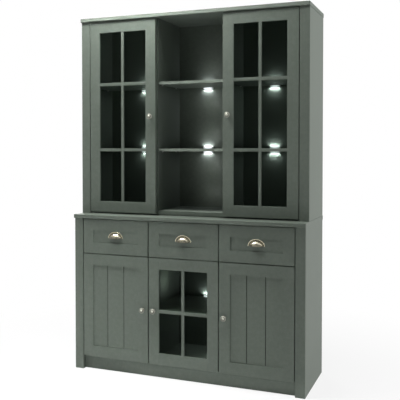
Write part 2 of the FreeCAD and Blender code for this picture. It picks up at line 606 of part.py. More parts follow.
def drawer(label, middle):
    """A grooved box with its bottom let in, a sunk front, a cup pull and two runner rails."""
    x = (f"{middle} - {HALF_FRONT}", f"{middle} + {HALF_FRONT}")
    node(f"{label}_front", recessed_front(label, x, (DRAWER_FOOT, DRAWER_TOP), BASE_FRONT, False))
    z = (BOX_FOOT, f"{BOX_FOOT} + {size('drawer_side_height')}")
    bottom_z = f"({BOX_FOOT} + {size('drawer_bottom_up')})"
    bite = f"({size('drawer_groove')})"
    slot = box(f"{label}_slot", (f"{middle} - {BOX_HALF} + {SIDE} - {bite}",
                                 f"{middle} + {BOX_HALF} - {SIDE} + {bite}"), (BOX_FRONT, BOX_REAR),
               (bottom_z, f"{bottom_z} + {size('drawer_bottom_thick')} + {size('bottom_play')}"))
    pieces = []
    for side, across in (
            ("left", (f"{middle} - {BOX_HALF}", f"{middle} - {BOX_HALF} + {SIDE}")),
            ("right", (f"{middle} + {BOX_HALF} - {SIDE}", f"{middle} + {BOX_HALF}"))):
        pieces.append(cut(f"{label}_{side}_wall",
                          box(f"{label}_{side}_board", across, (BOX_FRONT, BOX_REAR), z), slot))
    inner = (f"{middle} - {BOX_HALF} + {SIDE}", f"{middle} + {BOX_HALF} - {SIDE}")
    pieces.append(box(f"{label}_rear_wall", inner, (f"{BOX_REAR} - {SIDE}", BOX_REAR),
                      (f"{bottom_z} + {size('drawer_bottom_thick')}", z[1])))
    play = size("bottom_play")
    pieces.append(box(f"{label}_bottom", (f"{middle} - {BOX_HALF} + {SIDE} - {bite} + {play}",
                                          f"{middle} + {BOX_HALF} - {SIDE} + {bite} - {play}"),
                      (BOX_FRONT, BOX_REAR),
                      (bottom_z, f"{bottom_z} + {size('drawer_bottom_thick')}")))
    node(f"{label}_box", group(f"{label}_box_group", pieces))
    rails_of = []
    for side, sign in (("left", -1), ("right", 1)):
        wall = f"({middle} + ({sign}) * {BOX_HALF})"
        rail_y = (BOX_FRONT, f"{BOX_FRONT} + {size('runner_length')}")
        out = f"({size('runner_space')} - {SHEET} - 2 * {size('runner_play')})"
        leg = box(f"{label}_{side}_rail_leg", span(wall, sign, "0", SHEET), rail_y,
                  (f"{BOX_FOOT} - {SHEET}", f"{BOX_FOOT} + {size('runner_leg')}"))
        foot = box(f"{label}_{side}_rail_foot", span(wall, sign, f"-{size('runner_foot')}", out),
                   rail_y, (f"{BOX_FOOT} - {SHEET}", BOX_FOOT))
        rails_of.append(fuse(f"{label}_{side}_rail", [leg, foot]))
        seat = f"({middle} + ({sign}) * {DIVIDER_IN})"
        channel_y = (f"{BASE_EDGE} + {size('runner_front')}",
                     f"{BASE_EDGE} + {size('runner_front')} + {size('runner_length')}")
        low = f"({BOX_FOOT} - {SHEET} - {size('runner_play')} - {SHEET})"
        high = f"({low} + {size('runner_height')})"
        web = box(f"{label}_{side}_web", span(seat, -sign, "0", SHEET), channel_y, (low, high))
        sill = box(f"{label}_{side}_sill", span(seat, -sign, "0", size("runner_flange")), channel_y,
                   (low, f"{low} + {SHEET}"))
        lip = box(f"{label}_{side}_lip", span(seat, -sign, "0", size("runner_flange")), channel_y,
                  (f"{high} - {SHEET}", high))
        channels.append(fuse(f"{label}_{side}_channel", [web, sill, lip]))
    node(f"{label}_runners", group(f"{label}_runner_group", rails_of))
    face = f"({BASE_FRONT} + {size('recess_depth')})"
    low = f"(({DRAWER_FOOT} + {DRAWER_TOP}) / 2 - {size('pull_drop')})"
    half = f"({size('pull_width')} / 2)"
    rim = size("pull_flange")
    wall = size("pull_wall")
    bowl = globe(f"{label}_bowl", (half, size("pull_reach"), size("pull_height")), middle, face, low)
    ahead = box(f"{label}_ahead", (f"{middle} - {half} - 20", f"{middle} + {half} + 20"),
                (f"{face} - {size('pull_reach')} - 5", face),
                (low, f"{low} + {size('pull_height')} + 20"))
    pad = globe(f"{label}_pad", (f"{half} + {rim}", f"{size('pull_flange_thick')} * 4",
                                 f"{size('pull_height')} + {rim}"), middle, face, low)
    slab = box(f"{label}_slab", (f"{middle} - {half} - 20", f"{middle} + {half} + 20"),
               (f"{face} - {size('pull_flange_thick')}", face),
               (low, f"{low} + {size('pull_height')} + 20"))
    hollow = globe(f"{label}_hollow", (f"{half} - {wall}", f"{size('pull_reach')} - {wall}",
                                       f"{size('pull_height')} - {wall}"), middle, face, low)
    shape = fuse(f"{label}_pull_solid", [common(f"{label}_dome", bowl, ahead),
                                         common(f"{label}_rim", pad, slab)])
    node(f"{label}_pull", cut(f"{label}_pull_shell", shape, hollow))


for side, middle in (("left", f"(-{PITCH})"), ("center", "(0)"), ("right", PITCH)):
    drawer(f"{side}_drawer", middle)
node("runner_channels", group("channel_group", channels))

# Packing for the outer runners, then all packing as one node
for side, sign in (("left", -1), ("right", 1)):
    inner_face = f"({PITCH} + {DIVIDER_IN})"
    x = (neg(INNER), neg(inner_face)) if sign < 0 else (inner_face, INNER)
    blocks.append(box(f"runner_packing_{side}", x,
                      (BASE_EDGE, f"{BASE_EDGE} + {size('runner_front')} + {size('runner_length')}"),
                      (f"{BOX_FOOT} - {T}", f"{BOX_FOOT} + {T} * 2")))
node("packing_blocks", group("block_group", blocks))
node("hinge_arms", group("arm_group", arms))

# Light clips on the rear edge of the shelves
clips = []
lenses = []


def light(tag, x, middle):
    """A clip that grips the rear edge of a shelf, with a lens above and one below."""
    half = f"{size('light_width')} / 2"
    jaw = size("light_jaw")
    fit = size("light_fit")
    across = (f"{x} - {half}", f"{x} + {half}")
    y = (f"{SHELF_REAR} - {size('light_depth')}", f"{SHELF_REAR} + {size('light_web')}")
    solid = box(f"{tag}_case", across, y,
                (f"{middle} - {T} / 2 - {jaw}", f"{middle} + {T} / 2 + {jaw}"))
    slot = box(f"{tag}_slot", (f"{across[0]} - 1", f"{across[1]} + 1"),
               (f"{y[0]} - 1", SHELF_REAR), (f"{middle} - {T} / 2 - {fit}", f"{middle} + {T} / 2"))
    clips.append(cut(f"{tag}_clip", solid, slot))
    lens_x = (f"{across[0]} + {size('lens_margin')}", f"{across[1]} - {size('lens_margin')}")
    lens_y = (f"{y[0]} - {size('lens_thick')}", y[0])
    for where, sign in (("above", 1), ("below", -1)):
        centre = f"({middle} + ({sign}) * ({T} / 2 + {jaw} / 2))"
        lenses.append(box(f"{tag}_{where}", lens_x, lens_y,
                          (f"{centre} - {size('lens_height')} / 2",
                           f"{centre} + {size('lens_height')} / 2")))


light("light_base", "(0)", DOOR_MID)
for level, middle in LEVELS:
    for side, x in (("left", neg(UPPER_SIDE_MID)), ("center", "(0)"), ("right", UPPER_SIDE_MID)):
        light(f"light_{side}_{level}", x, middle)
node("light_clips", group("clip_group", clips))
node("light_lenses", group("lens_group", lenses))

doc.recompute()

# Check every object, then write one file for each node
for item in doc.Objects:
    if "Invalid" in item.State or "Error" in item.State:
        raise RuntimeError(f"{item.Label} did not build: {item.State}")
for item in NODES:
    if item.Shape.isNull() or not item.Shape.isValid():
        raise RuntimeError(f"{item.Label} has no valid shape")
os.makedirs("parts", exist_ok=True)
for item in NODES:
    item.Shape.exportStep(f"parts/{item.Label}.step")
print(len(NODES), "nodes written")
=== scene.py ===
import logging
import math
import random
from dataclasses import dataclass
from enum import Enum
from typing import Dict, List, Optional, Sequence, Tuple, Union

import bmesh
import bpy
from mathutils import Matrix, Vector


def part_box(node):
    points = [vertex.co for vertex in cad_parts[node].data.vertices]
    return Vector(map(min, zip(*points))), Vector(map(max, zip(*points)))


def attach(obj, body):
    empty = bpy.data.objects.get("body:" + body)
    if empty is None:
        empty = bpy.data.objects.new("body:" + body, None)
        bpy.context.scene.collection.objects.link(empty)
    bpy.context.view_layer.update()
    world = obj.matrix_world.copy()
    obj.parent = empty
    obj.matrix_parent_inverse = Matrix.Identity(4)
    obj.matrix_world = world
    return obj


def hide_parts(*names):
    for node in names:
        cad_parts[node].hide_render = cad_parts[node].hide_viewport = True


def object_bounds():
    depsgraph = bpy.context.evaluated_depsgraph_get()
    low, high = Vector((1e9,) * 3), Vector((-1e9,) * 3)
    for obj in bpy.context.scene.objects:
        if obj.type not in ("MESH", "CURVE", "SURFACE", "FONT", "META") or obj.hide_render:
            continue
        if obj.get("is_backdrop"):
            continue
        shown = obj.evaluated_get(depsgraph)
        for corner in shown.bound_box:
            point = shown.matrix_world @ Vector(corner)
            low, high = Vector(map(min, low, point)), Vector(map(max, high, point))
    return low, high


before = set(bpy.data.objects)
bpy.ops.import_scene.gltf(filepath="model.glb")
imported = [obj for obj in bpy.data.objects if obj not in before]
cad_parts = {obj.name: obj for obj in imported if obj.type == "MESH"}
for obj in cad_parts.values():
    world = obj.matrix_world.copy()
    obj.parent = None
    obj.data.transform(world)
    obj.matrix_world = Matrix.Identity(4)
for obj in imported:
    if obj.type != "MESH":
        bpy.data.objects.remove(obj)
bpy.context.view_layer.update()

LOG = logging.getLogger("hutch")
MM = 0.001
WELD = 0.001 * MM
SOFT_EDGE = 0.7 * MM
QUARTER = math.pi / 2
FORWARD = (0, -1, 0)
REARWARD = (0, 1, 0)
DOORS = ("upper_left_door", "upper_right_door", "base_left_door", "base_center_door", "base_right_door")
PANEL_DOORS = ("base_left_door", "base_right_door")
DRAWERS = ("left_drawer", "center_drawer", "right_drawer")
Point = Tuple[float, float, float]
Span = Tuple[float, float]
Box = Tuple[Span, Span, Span]
Spot = Tuple[Point, Point]


class Along(Enum):
    """The axis that a prism is drawn out along."""

    X = "x"
    Z = "z"


# Shader helpers

class Wire:
    """A shader socket that takes part in Python arithmetic."""

    def __init__(self, book: "NodeBook", socket: bpy.types.NodeSocket) -> None:
        """Keep the socket and the book that it belongs to."""
        self.book = book
        self.socket = socket

    def _math(self, operation: str, first: "Number", second: "Number") -> "Wire":
        """Add one Math node.

        Args:
            operation: Name of the Math operation.
            first: Left value.
            second: Right value.

        Returns:
            The result as a wire.
        """
        node = self.book.add("ShaderNodeMath", {"operation": operation}, {0: first, 1: second})
        return self.book.out(node, 0)

    def __add__(self, other: "Number") -> "Wire":
        """Sum."""
        return self._math("ADD", self, other)

    def __radd__(self, other: "Number") -> "Wire":
        """Sum, reflected."""
        return self._math("ADD", other, self)

    def __sub__(self, other: "Number") -> "Wire":
        """Difference."""
        return self._math("SUBTRACT", self, other)

    def __rsub__(self, other: "Number") -> "Wire":
        """Difference, reflected."""
        return self._math("SUBTRACT", other, self)

    def __mul__(self, other: "Number") -> "Wire":
        """Product."""
        return self._math("MULTIPLY", self, other)

    def __rmul__(self, other: "Number") -> "Wire":
        """Product, reflected."""
        return self._math("MULTIPLY", other, self)

    def size(self) -> "Wire":
        """The value without its sign."""
        return self._math("ABSOLUTE", self, 0.0)

    def least(self, other: "Number") -> "Wire":
        """The smaller of the two."""
        return self._math("MINIMUM", self, other)

    def ramp(self, low: float, high: float, to_low: float = 0.0, to_high: float = 1.0) -> "Wire":
        """Map a range onto another and clamp it.

        Args:
            low: Start of the range that is read.
            high: End of the range that is read.
            to_low: Value at the start.
            to_high: Value at the end.

        Returns:
            The mapped value.
        """
        node = self.book.add("ShaderNodeMapRange", {"clamp": True},
                             {0: self, 1: low, 2: high, 3: to_low, 4: to_high})
        return self.book.out(node, 0)


Number = Union[Wire, float, int]


class NodeBook:
    """Adds nodes to one tree."""

    def __init__(self, tree: bpy.types.NodeTree) -> None:
        """Keep the tree."""
        self.tree = tree

    def add(self, kind: str, settings: Optional[Dict] = None,
            sockets: Optional[Dict] = None) -> bpy.types.Node:
        """Add one node.

        Args:
            kind: The node's type.
            settings: Properties, set before the sockets.
            sockets: Values or wires by socket name or number.

        Returns:
            The new node.
        """
        node = self.tree.nodes.new(kind)
        for key, value in (settings or {}).items():
            setattr(node, key, value)
        for key, value in (sockets or {}).items():
            if isinstance(value, Wire):
                self.tree.links.new(value.socket, node.inputs[key])
            else:
                node.inputs[key].default_value = value
        return node

    def out(self, node: bpy.types.Node, key: Union[int, str] = 0) -> Wire:
        """One output of a node as a wire."""
        return Wire(self, node.outputs[key])

    def place(self, scale: Sequence[float] = (1, 1, 1)) -> Wire:
        """Object coordinates in metres, stretched by a scale.

        Args:
            scale: Scale of each axis.

        Returns:
            The coordinates.
        """
        coords = self.add("ShaderNodeTexCoord")
        node = self.add("ShaderNodeMapping", None,
                        {"Vector": self.out(coords, "Object"), "Scale": scale})
        return self.out(node, 0)

    def noise(self, scale: float, detail: float = 2.0, rough: float = 0.5,
              stretch: Sequence[float] = (1, 1, 1)) -> Wire:
        """Noise over Object coordinates.

        Args:
            scale: Cycles per metre, about.
            detail: Octaves.
            rough: Weight of the fine octaves.
            stretch: Scale of each axis.

        Returns:
            The noise value, about 0 to 1.
        """
        node = self.add("ShaderNodeTexNoise", {"noise_dimensions": "3D"},
                        {"Vector": self.place(stretch), "Scale": scale, "Detail": detail,
                         "Roughness": rough})
        return self.out(node, 0)

    def mark(self, name: str) -> Wire:
        """A number stored on the mesh."""
        node = self.add("ShaderNodeAttribute", {"attribute_name": name})
        return self.out(node, "Fac")

    def facing_up(self) -> Wire:
        """A mask of the faces that look up.

        Returns:
            One on those faces and nought on others.
        """
        geometry = self.add("ShaderNodeNewGeometry")
        parts = self.add("ShaderNodeSeparateXYZ", None, {0: self.out(geometry, "Normal")})
        return self.out(parts, "Z").ramp(0.6, 0.95)

    def blend(self, factor: Number, first: Union[Wire, Sequence[float]],
              second: Union[Wire, Sequence[float]]) -> Wire:
        """Mix two colours.

        Args:
            factor: Share of the second colour.
            first: Colour at 0.
            second: Colour at 1.

        Returns:
            The mixed colour.
        """
        def colour(value: Union[Wire, Sequence[float]]) -> Union[Wire, Tuple]:
            """Give a plain colour its alpha."""
            return value if isinstance(value, Wire) else (*value, 1.0)

        node = self.add("ShaderNodeMix", {"data_type": "RGBA", "blend_type": "MIX"},
                        {0: factor, 6: colour(first), 7: colour(second)})
        return self.out(node, 2)

    def bump(self, height: Wire, depth: float, strength: float,
             under: Optional[Wire] = None) -> Wire:
        """Turn a height into a normal.

        Args:
            height: The height, 0 to 1.
            depth: Height of 1, in metres.
            strength: Share of the effect.
            under: A normal that this one is laid over.

        Returns:
            The normal.
        """
        sockets = {"Height": height, "Distance": depth, "Strength": strength}
        if under is not None:
            sockets["Normal"] = under
        return self.out(self.add("ShaderNodeBump", None, sockets), "Normal")


def toned(colour: Point, factor: float) -> Point:
    """A colour made darker or lighter."""
    return tuple(part * factor for part in colour)


@dataclass(frozen=True)
class Finish:
    """A surface finish that can build its own material."""

    name: str
    slot: str
    colour: Point
    roughness: float

    def material(self) -> bpy.types.Material:
        """The material, made once.

        Returns:
            The finish's own material.
        """
        known = bpy.data.materials.get("finish_" + self.name)
        if known:
            return known
        material = bpy.data.materials.new("finish_" + self.name)
        material.use_nodes = True
        material.node_tree.nodes.clear()
        book = NodeBook(material.node_tree)
        shader = self.shade(book)
        book.add("ShaderNodeOutputMaterial", None, {"Surface": book.out(shader, 0)})
        return material

    def shade(self, book: NodeBook) -> bpy.types.Node:
        """Add the shader; each finish has its own.

        Args:
            book: Nodes of the material.

        Returns:
            The shader node.
        """
        raise NotImplementedError


@dataclass(frozen=True)
class GreenLacquer(Finish):
    """Grey-green satin lacquer on smooth board, a little rubbed on its edges, with painted shade in its
    grooves.
    """

    worn: Point = (0.22, 0.235, 0.215)
    wear: float = 0.16
    dust: float = 0.1
    least_dust: float = 0.35
    light_tone: float = 1.04
    dark_tone: float = 0.96
    mottle_tone: float = 1.12
    mottle_share: float = 0.1
    board_share: float = 0.4
    # Colour factor of the painted shade laid in grooves
    groove_shade_tone: float = 0.1
    specular: float = 0.2
    mottle_rough: float = 0.06
    tone_rough: float = 0.05
    edge_rough: float = 0.06
    roller_depth: float = 0.03 * MM
    peel_depth: float = 0.02 * MM

    def shade(self, book: NodeBook) -> bpy.types.Node:
        """Add the lacquer shader.

        Args:
            book: Nodes of the material.

        Returns:
            The shader node.
        """
        tone = book.noise(2.1, detail=1.0, rough=0.4)
        mottle = book.noise(210.0, detail=3.0, rough=0.6)
        peel = book.noise(1400.0, detail=2.0, rough=0.5)
        roller = book.noise(420.0, detail=2.0, rough=0.5, stretch=(1.0, 1.0, 0.3))
        light = toned(self.colour, self.light_tone)
        base = book.blend(tone.ramp(0.25, 0.75), toned(self.colour, self.dark_tone), light)
        base = book.blend(mottle.ramp(0.4, 0.75) * self.mottle_share, base,
                          toned(self.colour, self.mottle_tone))
        base = book.blend(book.mark("tone") * self.board_share, base, light)
        edge = book.mark("ease") * book.noise(46.0, detail=4.0, rough=0.65).ramp(0.4, 0.72)
        base = book.blend(edge * self.wear, base, self.worn)
        # Painted shade: marked grooves are darkened almost to black
        base = book.blend(book.mark("painted_shade"), base, toned(self.colour, self.groove_shade_tone))
        speck = book.noise(330.0, detail=2.0, rough=0.6).ramp(0.62, 0.72)
        base = book.blend(book.facing_up() * (self.least_dust + speck) * self.dust, base, self.worn)
        rough = (self.roughness + (mottle - 0.5) * self.mottle_rough
                 + (tone - 0.5) * self.tone_rough + edge * self.edge_rough).ramp(0.0, 1.0)
        normal = book.bump(roller, self.roller_depth, strength=0.15)
        normal = book.bump(peel, self.peel_depth, strength=0.3, under=normal)
        return book.add("ShaderNodeBsdfPrincipled", None,
                        {"Base Color": base, "Roughness": rough, "Normal": normal,
                         "Specular IOR Level": self.specular})


@dataclass(frozen=True)
class BoardFoil(Finish):
    """Pale drawer board with a fine woven print."""

    thread: float = 900.0
    shadow_tone: float = 0.8
    cloud_tone: float = 1.08
    cloud_share: float = 0.2
    cut_edge: Point = (0.5, 0.43, 0.33)
    cut_edge_share: float = 0.3
    weave_rough: float = 0.2
    weave_depth: float = 0.08 * MM

    def shade(self, book: NodeBook) -> bpy.types.Node:
        """Add the foil shader.

        Args:
            book: Nodes of the material.

        Returns:
            The shader node.
        """
        across = book.noise(self.thread, detail=2.0, rough=0.5, stretch=(1.0, 0.05, 1.0))
        along = book.noise(self.thread, detail=2.0, rough=0.5, stretch=(1.0, 1.0, 0.05))
        weave = (across + along) * 0.5
        cloud = book.noise(9.0, detail=3.0)
        base = book.blend(weave.ramp(0.35, 0.65), toned(self.colour, self.shadow_tone), self.colour)
        base = book.blend(cloud.ramp(0.3, 0.8) * self.cloud_share, base,
                          toned(self.colour, self.cloud_tone))
        base = book.blend(book.mark("ease") * self.cut_edge_share, base, self.cut_edge)
        rough = (self.roughness + (weave - 0.5) * self.weave_rough).ramp(0.0, 1.0)
        normal = book.bump(weave, self.weave_depth, strength=0.5)
        return book.add("ShaderNodeBsdfPrincipled", None,
                        {"Base Color": base, "Roughness": rough, "Normal": normal})


@dataclass(frozen=True)
class PlatedMetal(Finish):
    """Plated metal with random patina, darkened further by painted shade and painted reflection where
    the mesh is marked.
    """

    # Dark colour for the patina and for the painted shade
    tarnish_and_shade: Point = (0.1, 0.085, 0.06)
    brushed: float = 0.2
    patina_and_shade: float = 0.6
    patina_share: float = 0.3
    painted_shade_share: float = 0.8
    dulled: float = 0.22
    grain_depth: float = 0.03 * MM
    patina_depth: float = 0.1 * MM

    def shade(self, book: NodeBook) -> bpy.types.Node:
        """Add the metal shader.

        Args:
            book: Nodes of the material.

        Returns:
            The shader node.
        """
        patina = book.noise(95.0, detail=5.0, rough=0.62)
        grain = book.noise(1500.0, detail=2.0, rough=0.5, stretch=(0.06, 1.0, 1.0))
        painted_shade = book.mark("painted_shade")
        # Random patina plus painted shade and painted reflection from the mesh's mark
        patina_and_shade = ((patina.ramp(0.5, 0.78) * self.patina_share + painted_shade * self.painted_shade_share)
                * self.patina_and_shade).ramp(0.0, 1.0)
        base = book.blend(patina_and_shade, self.colour, self.tarnish_and_shade)
        rough = (self.roughness + (grain - 0.5) * self.brushed + patina_and_shade * self.dulled).ramp(0.0, 1.0)
        normal = book.bump(grain, self.grain_depth, strength=0.3)
        normal = book.bump(patina, self.patina_depth, strength=0.15, under=normal)
        return book.add("ShaderNodeBsdfPrincipled", None,
                        {"Base Color": base, "Roughness": rough, "Normal": normal,
                         "Metallic": 1.0})


@dataclass(frozen=True)
class CoatedSteel(Finish):
    """Powder-coated sheet steel with a fine stipple, rubbed in patches."""

    bare: Point = (0.36, 0.36, 0.36)
    rubbed: float = 0.4
    stipple_rough: float = 0.2
    stipple_depth: float = 0.05 * MM

    def shade(self, book: NodeBook) -> bpy.types.Node:
        """Add the coated steel shader.

        Args:
            book: Nodes of the material.

        Returns:
            The shader node.
        """
        stipple = book.noise(1300.0, detail=2.0)
        rub = book.noise(60.0, detail=4.0, rough=0.65).ramp(0.56, 0.74) * self.rubbed
        base = book.blend(rub, self.colour, self.bare)
        rough = (self.roughness + (stipple - 0.5) * self.stipple_rough).ramp(0.0, 1.0)
        return book.add("ShaderNodeBsdfPrincipled", None,
                        {"Base Color": base, "Roughness": rough,
                         "Normal": book.bump(stipple, self.stipple_depth, strength=0.4)})


@dataclass(frozen=True)
class MouldedPlastic(Finish):
    """Moulded plastic with a fine spark-eroded grain."""

    cloud_tone: float = 0.93
    grain_rough: float = 0.18
    grain_depth: float = 0.04 * MM

    def shade(self, book: NodeBook) -> bpy.types.Node:
        """Add the plastic shader.

        Args:
            book: Nodes of the material.

        Returns:
            The shader node.
        """
        grain = book.noise(2200.0, detail=2.0)
        cloud = book.noise(40.0, detail=3.0)
        base = book.blend(cloud.ramp(0.3, 0.7), toned(self.colour, self.cloud_tone), self.colour)
        rough = (self.roughness + (grain - 0.5) * self.grain_rough).ramp(0.0, 1.0)
        return book.add("ShaderNodeBsdfPrincipled", None,
                        {"Base Color": base, "Roughness": rough,
                         "Normal": book.bump(grain, self.grain_depth, strength=0.4)})


@dataclass(frozen=True)
class LightWindow(Finish):
    """Frosted window with cool light diodes behind it."""

    strength: float = 1.6
    pitch: float = 405 * MM
    reach: float = 36 * MM
    cool: Point = (0.86, 0.9, 1.0)
    clear: Point = (0.97, 0.97, 1.0)
    end: Point = (0.03, 0.035, 0.035)
    frost_depth: float = 0.05 * MM

    def shade(self, book: NodeBook) -> bpy.types.Node:
        """Add the glowing window, brightest at its middle.

        Args:
            book: Nodes of the material.

        Returns:
            The shader node.
        """
        frost = book.noise(900.0, detail=2.0)
        parts = book.add("ShaderNodeSeparateXYZ", None, {0: book.place()})
        across = book.out(parts, "X").size()
        beside = (across - self.pitch).size()
        fade = 1.0 - across.least(beside) * (1.0 / self.reach)
        glow = book.blend(frost.ramp(0.3, 0.7), self.cool, self.clear)
        glow = book.blend(fade.ramp(0.0, 0.75), self.end, glow)
        return book.add("ShaderNodeBsdfPrincipled", None,
                        {"Base Color": (*self.colour, 1.0), "Roughness": self.roughness,
                         "Emission Color": glow, "Emission Strength": self.strength,
                         "Normal": book.bump(frost, self.frost_depth, strength=0.3)})


@dataclass(frozen=True)
class ClearGlass(Finish):
    """Grey-green float glass with a faint film and slightly wavy faces."""

    gloss: float = 0.045
    film_shine: float = 0.002
    index: float = 1.45
    shine_tint: Point = (0.86, 1.0, 0.86)
    wave_depth: float = 0.6 * MM

    def shade(self, book: NodeBook) -> bpy.types.Node:
        """Add the glass shader.

        Args:
            book: Nodes of the material.

        Returns:
            The shader node.
        """
        film = book.noise(11.0, detail=4.0, rough=0.6)
        wave = book.noise(4.5, detail=1.0)
        normal = book.bump(wave, self.wave_depth, strength=0.25)
        through = book.add("ShaderNodeBsdfTransparent", None, {"Color": (*self.colour, 1.0)})
        shine = book.add("ShaderNodeBsdfAnisotropic", None,
                         {"Color": (*self.shine_tint, 1.0),
                          "Roughness": film.ramp(0.2, 0.9, 0.01, 0.07), "Normal": normal})
        mirror = book.add("ShaderNodeFresnel", None, {"IOR": self.index, "Normal": normal})
        share = book.out(mirror, 0) * self.gloss + film.ramp(0.55, 0.9) * self.film_shine
        return book.add("ShaderNodeMixShader", None,
                        {0: share.ramp(0.0, 1.0), 1: book.out(through, 0), 2: book.out(shine, 0)})


LACQUER = GreenLacquer("green_lacquer", "green_paint", (0.107, 0.129, 0.106), 0.46)
# A lighter green for the front edges: a painted highlight
EDGE_HIGHLIGHT = GreenLacquer("edge_highlight", "green_paint", (0.165, 0.194, 0.162), 0.4)
DRAWER_FOIL = BoardFoil("drawer_foil", "drawer_board", (0.47, 0.45, 0.41), 0.55)
# The dark colours of both nickels serve their patina and the painted shade on the pulls and knobs
NICKEL = PlatedMetal("antique_nickel", "antique_nickel", (0.7, 0.66, 0.52), 0.18,
                     (0.03, 0.027, 0.014), 0.15, 1.15)
KNOB_NICKEL = PlatedMetal("knob_nickel", "antique_nickel", (0.38, 0.385, 0.33), 0.52,
                          (0.05, 0.05, 0.042), 0.2, 1.0)
HINGE_STEEL = PlatedMetal("hinge_steel", "hinge_steel", (0.62, 0.62, 0.6), 0.3,
                          (0.2, 0.19, 0.18), 0.25, 0.35)
RUNNER_STEEL = CoatedSteel("runner_steel", "runner_metal", (0.72, 0.72, 0.7), 0.4)
CLIP_PLASTIC = MouldedPlastic("clip_plastic", "clip_plastic", (0.62, 0.63, 0.62), 0.42)
BUFFER_PLASTIC = MouldedPlastic("buffer_plastic", "clip_plastic", (0.5, 0.5, 0.48), 0.55)
LIGHT = LightWindow("light_window", "lens", (0.9, 0.94, 0.96), 0.4)
GLASS = ClearGlass("clear_glass", "clear_glass", (0.7, 0.74, 0.71), 0.02)


# Mesh helpers

def corner_key(edge: bmesh.types.BMEdge) -> Tuple:
    """A steady order for edges, by the places of their ends."""
    return tuple(sorted(tuple(round(value, 6) for value in vert.co) for vert in edge.verts))


def solids_of(node: str) -> List[Box]:
    """The box of each solid in a CAD node.

    Args:
        node: Name of a node whose solids stand clear of one another.

    Returns:
        Low and high X, Y and Z of each solid, in a steady order.
    """
    part = bmesh.new()
    part.from_mesh(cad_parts[node].data)
    bmesh.ops.remove_doubles(part, verts=part.verts, dist=WELD)
    left = set(part.verts)
    boxes = []
    while left:
        reached = [left.pop()]
        places = []
        while reached:
            vert = reached.pop()
            places.append(vert.co.copy())
            for edge in vert.link_edges:
                other = edge.other_vert(vert)
                if other in left:
                    left.remove(other)
                    reached.append(other)
        boxes.append(tuple((min(p[axis] for p in places), max(p[axis] for p in places))
                           for axis in range(3)))
    part.free()
    return sorted(boxes)


